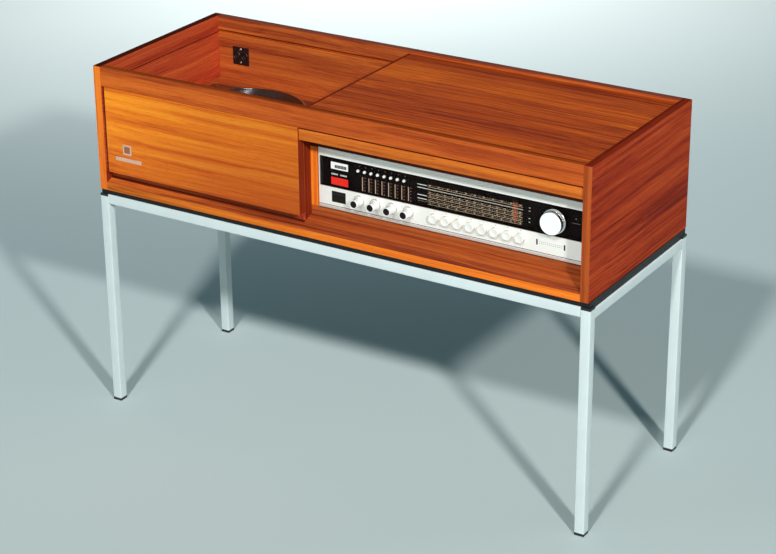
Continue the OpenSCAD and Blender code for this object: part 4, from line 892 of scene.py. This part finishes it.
def push_button(name):
    centre, end = front_of(name)
    turned(name + "_cap", (
        (0, 0.95), (2.5, 0.87), (5, 0.57), (7, 0.2), (7.9, 0.02), (8.4, 0), (8.8, 0.25), (9, 0.7), (9, 9.6),
        (8.8, 10), (4, 10), (4, end), (0, end),
    ), centre, Y, "ivory", name, nodes=(name,))
    ring(name + "_ring", (9.35, 9.5, 10.3, 10.6), 1.35, centre, "trim")


def preset_knob(name):
    centre, end = front_of(name)
    x, y, z = centre
    cap = (0, 0.3), (1.7, 0.25), (2.3, 0), (2.6, 0.35), (2.7, 1), (2.8, 3), (0, 3)
    bm = bmesh.new()
    turn_mesh(bm, cap, centre, Y, 40)
    box_mesh(bm, (x - 2, y + 0.05, z - 0.35), (x + 2, y + 0.7, z + 0.35), 0.1)
    piece(bm, name + "_cap", "ivory", name, (name,), 32)
    fluted(name + "_skirt", (
        (0, 2.9), (2.9, 2.9), (3.4, 3.3), (3.45, 3.6, 1), (3.5, 5, 1), (3.3, 5.5), (1.5, 5.5), (1.5, end),
        (0, end),
    ), centre, Y, "plastic", name, 48, 0.15)


def tuning_knob(name):
    centre, end = front_of(name)
    spun("tuning_spun", (250, 250, 248), centre, Y, rough=0.32, metal=0.2, contrast=0.05)
    turned("tuning_face", (
        (0, 0.6), (3.2, 0.6), (3.5, 0.35), (18.6, 0.15), (19.2, 0.7), (19.7, 0.7), (20.2, 0), (20.9, 0.05),
        (21.4, 0.6), (21.4, 1.2), (0, 1.2),
    ), centre, Y, "tuning_spun", name, 128, nodes=(name,))
    fluted("tuning_grip", (
        (0, 1.2), (21.3, 1.2), (21.5, 1.8, 1), (21.5, 11.6, 1), (21.2, 12.2), (20.6, 12.6), (20.6, 13),
        (0, 13),
    ), centre, Y, "nickel", name, 240, 0.35, 30)
    turned("tuning_flange", (
        (0, 12.9), (22.4, 12.9), (23.6, 13.4), (24, 14.2), (24, 17.1), (23.7, 17.5), (4, 17.5), (4, end),
        (0, end),
    ), centre, Y, "chrome", name, 96)


# Receiver behind the fascia
def receiver():
    dress("receiver_chassis", "steel", width=0)
    board_face, plate_foot = limits("circuit_board").lo[2] + 1.7, 550
    dress("circuit_board", ("pcb", "nickel", "plastic"), width=0, smooth=35,
          parts=lambda c, n: 0 if c.z < board_face else (1 if c.z > plate_foot else 2))
    core, half_core = limits("power_transformer"), 15.1
    dress("power_transformer", ("core", "copper"), width=0.4,
          parts=lambda c, n: 1 if abs(c.y - (core.lo[1] + core.hi[1]) / 2) > half_core else 0)
    dress("rear_cover", "hardboard", width=0)
    dress("socket_plates", "plastic", width=0, smooth=35)


# Sockets: (x, y, z, way that it faces) in the bay and on the rear plate
BAY_Y, REAR_Y, REAR_Z = 187.5, 184.5, 556
BAY_SOCKETS = [(x, BAY_Y, 658.5, -1) for x in (-485.5, -465.5)]
REAR_SOCKETS = [(-7 + 26 * (i + 0.5), REAR_Y, REAR_Z, 1) for i in range(5)]


def socket_mesh(rings, pins, x, y, z, out):
    """A round socket: its raised rim, its floor and five pins in a half circle."""
    rim = (7, 0), (7, 0.6), (7.3, 0.9), (8.2, 0.9), (8.6, 0.5), (8.6, 0), (7, 0)
    turn_mesh(rings, [(r, out * high) for r, high in rim], (x, y, z), Y, 40)
    bed = (0, 2.2), (6.9, 2.2), (6.9, 2.4), (0, 2.4)
    turn_mesh(rings, [(r, -out * deep) for r, deep in bed], (x, y, z), Y, 32)
    pin = [(r, -out * deep) for r, deep in ((0, 0.6), (0.6, 0.7), (0.7, 0.9), (0.7, 2.3), (0, 2.3))]
    for k in range(5):
        a = math.radians(180 + 45 * k)
        turn_mesh(pins, pin, (x + 4.2 * math.cos(a), y, z + 4.2 * math.sin(a)), Y, 12)


def screws(name, places, r, out=1, axis=Y, high=1.4, mat="screw", slot="zinc_steel", body=ROOT):
    bm = bmesh.new()
    for place in places:
        screw_mesh(bm, *place, r, out, axis, high)
    return piece(bm, name, mat, body, smooth=35)


def sockets():
    screws("bay_socket_screws", [(-475.5, BAY_Y, z) for z in (644.5, 672.5)], 2.6, -1)
    rings, pins = bmesh.new(), bmesh.new()
    for socket in BAY_SOCKETS + REAR_SOCKETS:
        socket_mesh(rings, pins, *socket)
    weld(rings)
    piece(rings, "socket_rings", "plastic", smooth=35)
    inlet_pin = (0, -0.1), (1.2, -0.1), (1.5, -0.5), (1.55, -1.5), (0, -1.5)
    for x in (154.5, 163.5):
        turn_mesh(pins, inlet_pin, (x, REAR_Y, REAR_Z), Y, 16)
    piece(pins, "socket_pins", "brass", smooth=35)


def rear_details():
    bm = bmesh.new()
    for x in (-2, 124, 178):
        for z in (544, 568):
            screw_mesh(bm, x, REAR_Y, z, 1.9, high=0.9)
    (x0, y0, z0), (x1, y1, z1) = limits("rear_cover")
    for x in (x0 + 8, (2 * x0 + x1) / 3, (x0 + 2 * x1) / 3, x1 - 8):
        for z in (z0 + 7, z1 - 7):
            screw_mesh(bm, x, y1 - 1.2, z, 3.2, high=1.15)
    piece(bm, "rear_screws", "screw", smooth=35)
    faces, level = (REAR_Y, REAR_Y + 0.05), REAR_Z + 11
    blocks("socket_marks", [printed(x - 3, level, x + 3, level + 0.5, faces) for x, *rest in REAR_SOCKETS],
           "print_white")


# Player
def platter():
    (x0, y0, low), (x1, y1, top) = limits("platter")
    centre = (x0 + x1) / 2, (y0 + y1) / 2, 0
    bed = 624
    spun("cast_spun", (216, 216, 213), centre, Z, pitch=900, rough=0.16)
    turned("platter_turned", (
        (8.05, low), (20, low), (20, 620), (127.75, 620), (127.75, 611), (134.4, 611), (135, 611.6),
        (135, 615), (134.3, 615.4), (134.3, 616.4), (135, 616.8), (135, 621.2), (134.3, 621.6),
        (134.3, 622.6), (135, 623), (135, top - 1.3), (134.9, top - 0.8), (134.6, top - 0.35),
        (134.2, top - 0.1), (133.7, top), (130.5, top), (130.3, top - 0.3), (130.3, bed), (8.05, bed),
    ), centre, Z, "cast_spun", "platter", 192, 30, ("platter",), close=True)

    # Groups of fine rings, with two plain bands between them
    top = limits("platter_mat").hi[2]
    bands = 50, 86
    profile = [(8.4, bed), (8.4, top - 0.3), (8.8, top)]
    for r in range(14, 118, 4):
        if r not in bands:
            profile += [(r, top), (r + 0.35, top - 0.55), (r + 2.4, top - 0.55), (r + 2.75, top)]
    profile += [(122, top), (122.4, top - 0.7), (125.2, top - 0.7), (125.6, top)]
    profile += [(129.5, top), (130, top - 0.5), (130, bed)]
    turned("mat_ribbed", profile, centre, Z, "mat", "platter", 160, 20, ("platter_mat",),
           close=True)


def player_shells():
    for node, mat, slot, body, width, segments in (
        ("spindle", "chrome", "bright_metal", ROOT, 0.25, 1),
        ("idler_wheel", "rubber", "black_rubber", "idler_wheel", 0.4, 1),
        ("motor_pulley", "brass", "bright_metal", "motor_pulley", 0.2, 1),
        ("motor", "motor", "zinc_steel", ROOT, 0.8, 2),
        ("player_plate", "deck", "deck_paint", ROOT, 0.8, 2),
        ("arm_pedestal", "nickel", "bright_metal", ROOT, 0.5, 2),
        ("arm_swivel", "nickel", "bright_metal", "arm_swivel", 0.4, 2),
        ("headshell", "plastic", "black_plastic", "tonearm", 0.5, 2),
        ("speed_lever", "plastic", "black_plastic", "speed_lever", 0.8, 2),
        ("start_lever", "nickel", "bright_metal", "start_lever", 0.8, 2),
    ):
        dress(node, mat, body, width, segments, 35)


# The tonearm's line: x of its pivot and tube, y of its pivot, z of its tube
ARM_X, ARM_Y, ARM_Z = -150.5, 114, 644


def plate_details():
    (x0, y0, low), (x1, y1, top) = limits("player_plate")
    inset = 13
    corners = [(x, y, top) for x in (x0 + inset, x1 - inset) for y in (y0 + inset, y1 - inset)]
    screws("plate_screws", corners, 4.2, axis=Z, high=1.7, mat="deck", slot="deck_paint")
    angles = (math.radians(a) for a in (0, 120, 240))
    flange = [(ARM_X + 17.5 * math.cos(a), ARM_Y + 17.5 * math.sin(a), 613) for a in angles]
    screws("pedestal_screws", flange, 1.8, axis=Z, high=0.9)
    numbers = ("33", -204.5, -138), ("45", -170.5, -138), ("0", -246, -138), ("1", -219, -141)
    digits("speed_numbers", [(*number, top, 4) for number in numbers], "print_white", Z)
    cap = (0, 1.5), (6, 1.3), (7.4, 0.9), (8, 0), (0, 0)
    for name in ("speed_lever", "start_lever"):
        centre = front_of(name)[0][0], -122.5, top + 4.05
        turned(name + "_cap", cap, centre, Z, "chrome", name, 48)


def tonearm():
    along = ARM_X, 0, ARM_Z
    turned("arm_tube", (
        (0, -86), (4.1, -86), (4.5, -85.6), (4.5, -62), (4.9, -61.6), (4.9, -58), (4.5, -57.6), (4.5, 128),
        (5.6, 128.3), (5.6, 138.2), (0, 138.2),
    ), along, Y, "chrome", "tonearm", 40, 30, ("tonearm",))
    spun("weight_spun", (150, 150, 148), along, Y, rough=0.3)
    fluted("counterweight", (
        (0, 138), (11.8, 138), (12.6, 138.6), (12.6, 141.6), (12, 141.9), (12, 142.8), (12.6, 143.1),
        (13, 143.6, 1), (13, 158, 1), (12.6, 158.6), (12, 158.8), (12, 159.6), (12.8, 159.9), (12.8, 163.2),
        (12, 164), (5, 164), (4.6, 163.2), (0, 163.2),
    ), along, Y, "weight_spun", "tonearm", 90, 0.3, 30)
    half = (0, 12.5), (1.5, 12.5), (1.5, 9.2), (5, 9.2), (5.5, 8.7)
    hub = [(r, -u) for r, u in half] + [(r, u) for r, u in reversed(half)]
    turned("tilt_hub", hub, (ARM_X, ARM_Y, ARM_Z), X, "nickel", "tonearm", 32)
    places = [(ARM_X + side, y, 652.5) for y in (-121, -111) for side in (-4.5, 4.5)]
    screws("shell_screws", places, 1.5, axis=Z, high=0.6, body="tonearm")
    lift = [(ARM_X + u, z) for u, z in (
        (8.6, 645), (13, 645), (17, 646.4), (18.5, 648.6), (17.4, 649), (16.2, 647.4), (12.8, 646.2),
        (8.6, 646.2),
    )]
    prism("finger_lift", lift, Y, -122, -115, "chrome", "tonearm", 0.2)


for i in range(4):
    control_knob(f"control_knob_{i + 1}")
for i in range(8):
    push_button(f"push_button_{i + 1}")
for i in range(8):
    preset_knob(f"preset_knob_{i + 1}")
tuning_knob("tuning_knob")
receiver()
sockets()
rear_details()
platter()
player_shells()
plate_details()
tonearm()
badge()


# Camera, fitted to the photo: turned to the side, down, and a little round its own line of sight
def add_camera(place, yaw, pitch, roll, lens):
    ahead = Vector((math.sin(yaw) * math.cos(pitch), math.cos(yaw) * math.cos(pitch), -math.sin(pitch)))
    level = Vector((math.cos(yaw), -math.sin(yaw), 0))
    upright = level.cross(ahead)
    right = math.cos(roll) * level + math.sin(roll) * upright
    up = -math.sin(roll) * level + math.cos(roll) * upright
    camera = bpy.data.objects.new("camera", bpy.data.cameras.new("camera"))
    camera.data.lens = lens
    camera.data.sensor_width = 36
    camera.data.clip_end = 60
    turn = Matrix((right, up, -ahead)).transposed().to_4x4()
    camera.matrix_world = Matrix.Translation(place) @ turn
    bpy.context.scene.collection.objects.link(camera)
    bpy.context.scene.camera = camera


# Light: two main lamps, weak ones from below, behind and the left, and one for the backdrop
def lamp(name, place, aim, level, size, spread=180):
    """A round lamp that lights aim as strongly as level says, whatever its distance."""
    data = bpy.data.lights.new(name, "AREA")
    data.shape = "DISK"
    data.size = size
    data.spread = math.radians(spread)
    place, aim = Vector(place), Vector(aim)
    data.energy = level * math.pi ** 2 * (place - aim).length ** 2
    obj = bpy.data.objects.new(name, data)
    turn = (aim - place).to_track_quat("-Z", "Y").to_matrix().to_4x4()
    obj.matrix_world = Matrix.Translation(place) @ turn
    obj.visible_camera = False
    bpy.context.scene.collection.objects.link(obj)


def lamps():
    aim = Vector((0, 0, 0.5))
    for name, way, far, level, size in (
        ("lamp_right", (3.05, -2.38, 2.07), 1.5, 0.68, 0.06),
        ("lamp_front", (0.85, -3.6, 3.3), 1.5, 0.54, 0.08),
        ("lamp_low", (0.9, -4.6, 0.35), 1.5, 0.07, 0.2),
        ("lamp_back", (1, 4.6, 0.3), 2.2, 0.14, 0.4),
        ("lamp_left", (-4.6, 0.4, 0.3), 2.2, 0.1, 0.4),
    ):
        away = Vector(way) * far
        lamp(name, aim + away, aim, level, size * away.length)
    lamp("lamp_backdrop", (-1.9, 3.2, 3), (-1.9, 2.9, 0), 0.22, 1.6, 80)


def floor():
    """A pale floor, lighter towards the back left: painted light where the lamps fall off with distance."""
    s = Shader("floor", Roughness=0.85, Specular_IOR_Level=0.1)
    place = s.place()
    across = s.math("SUBTRACT", s.part(place, Y), s.math("MULTIPLY", s.part(place, X), 0.9))
    s.colour(s.ramp(s.reach(across, -0.6, 3.9), (
        (0, srgb(190, 203, 201)), (0.11, srgb(200, 213, 211)), (0.47, srgb(216, 229, 228)),
        (1, srgb(238, 245, 243)),
    )))
    bm = bmesh.new()
    bmesh.ops.create_grid(bm, x_segments=1, y_segments=1, size=16)
    from_bmesh(bm, "floor", "floor")


def surroundings():
    """A weak blue light from all sides. The camera, reflections and the glass see a pale wall instead."""
    world = bpy.data.worlds.new("world")
    bpy.context.scene.world = world
    world.use_nodes = True
    world.node_tree.nodes.clear()
    node, link = world.node_tree.nodes.new, world.node_tree.links.new
    soft = node("ShaderNodeBackground")
    soft.inputs["Color"].default_value = (0.25, 0.8, 1, 1)
    soft.inputs["Strength"].default_value = 0.105
    seen = node("ShaderNodeBackground")
    seen.inputs["Color"].default_value = srgb(217, 229, 227)
    path = node("ShaderNodeLightPath")
    total = path.outputs["Is Camera Ray"]
    for kind in ("Is Glossy Ray", "Is Transmission Ray"):
        add = node("ShaderNodeMath")
        add.use_clamp = True
        link(total, add.inputs[0])
        link(path.outputs[kind], add.inputs[1])
        total = add.outputs[0]
    mix = node("ShaderNodeMixShader")
    link(total, mix.inputs["Fac"])
    link(soft.outputs[0], mix.inputs[1])
    link(seen.outputs[0], mix.inputs[2])
    link(mix.outputs[0], node("ShaderNodeOutputWorld").inputs["Surface"])


add_camera((2.12336, -3.39391, 2.09848), -0.558489, 0.416374, -0.009258, 101.67)
lamps()
floor()
surroundings()
bpy.context.scene.view_settings.view_transform = "Standard"
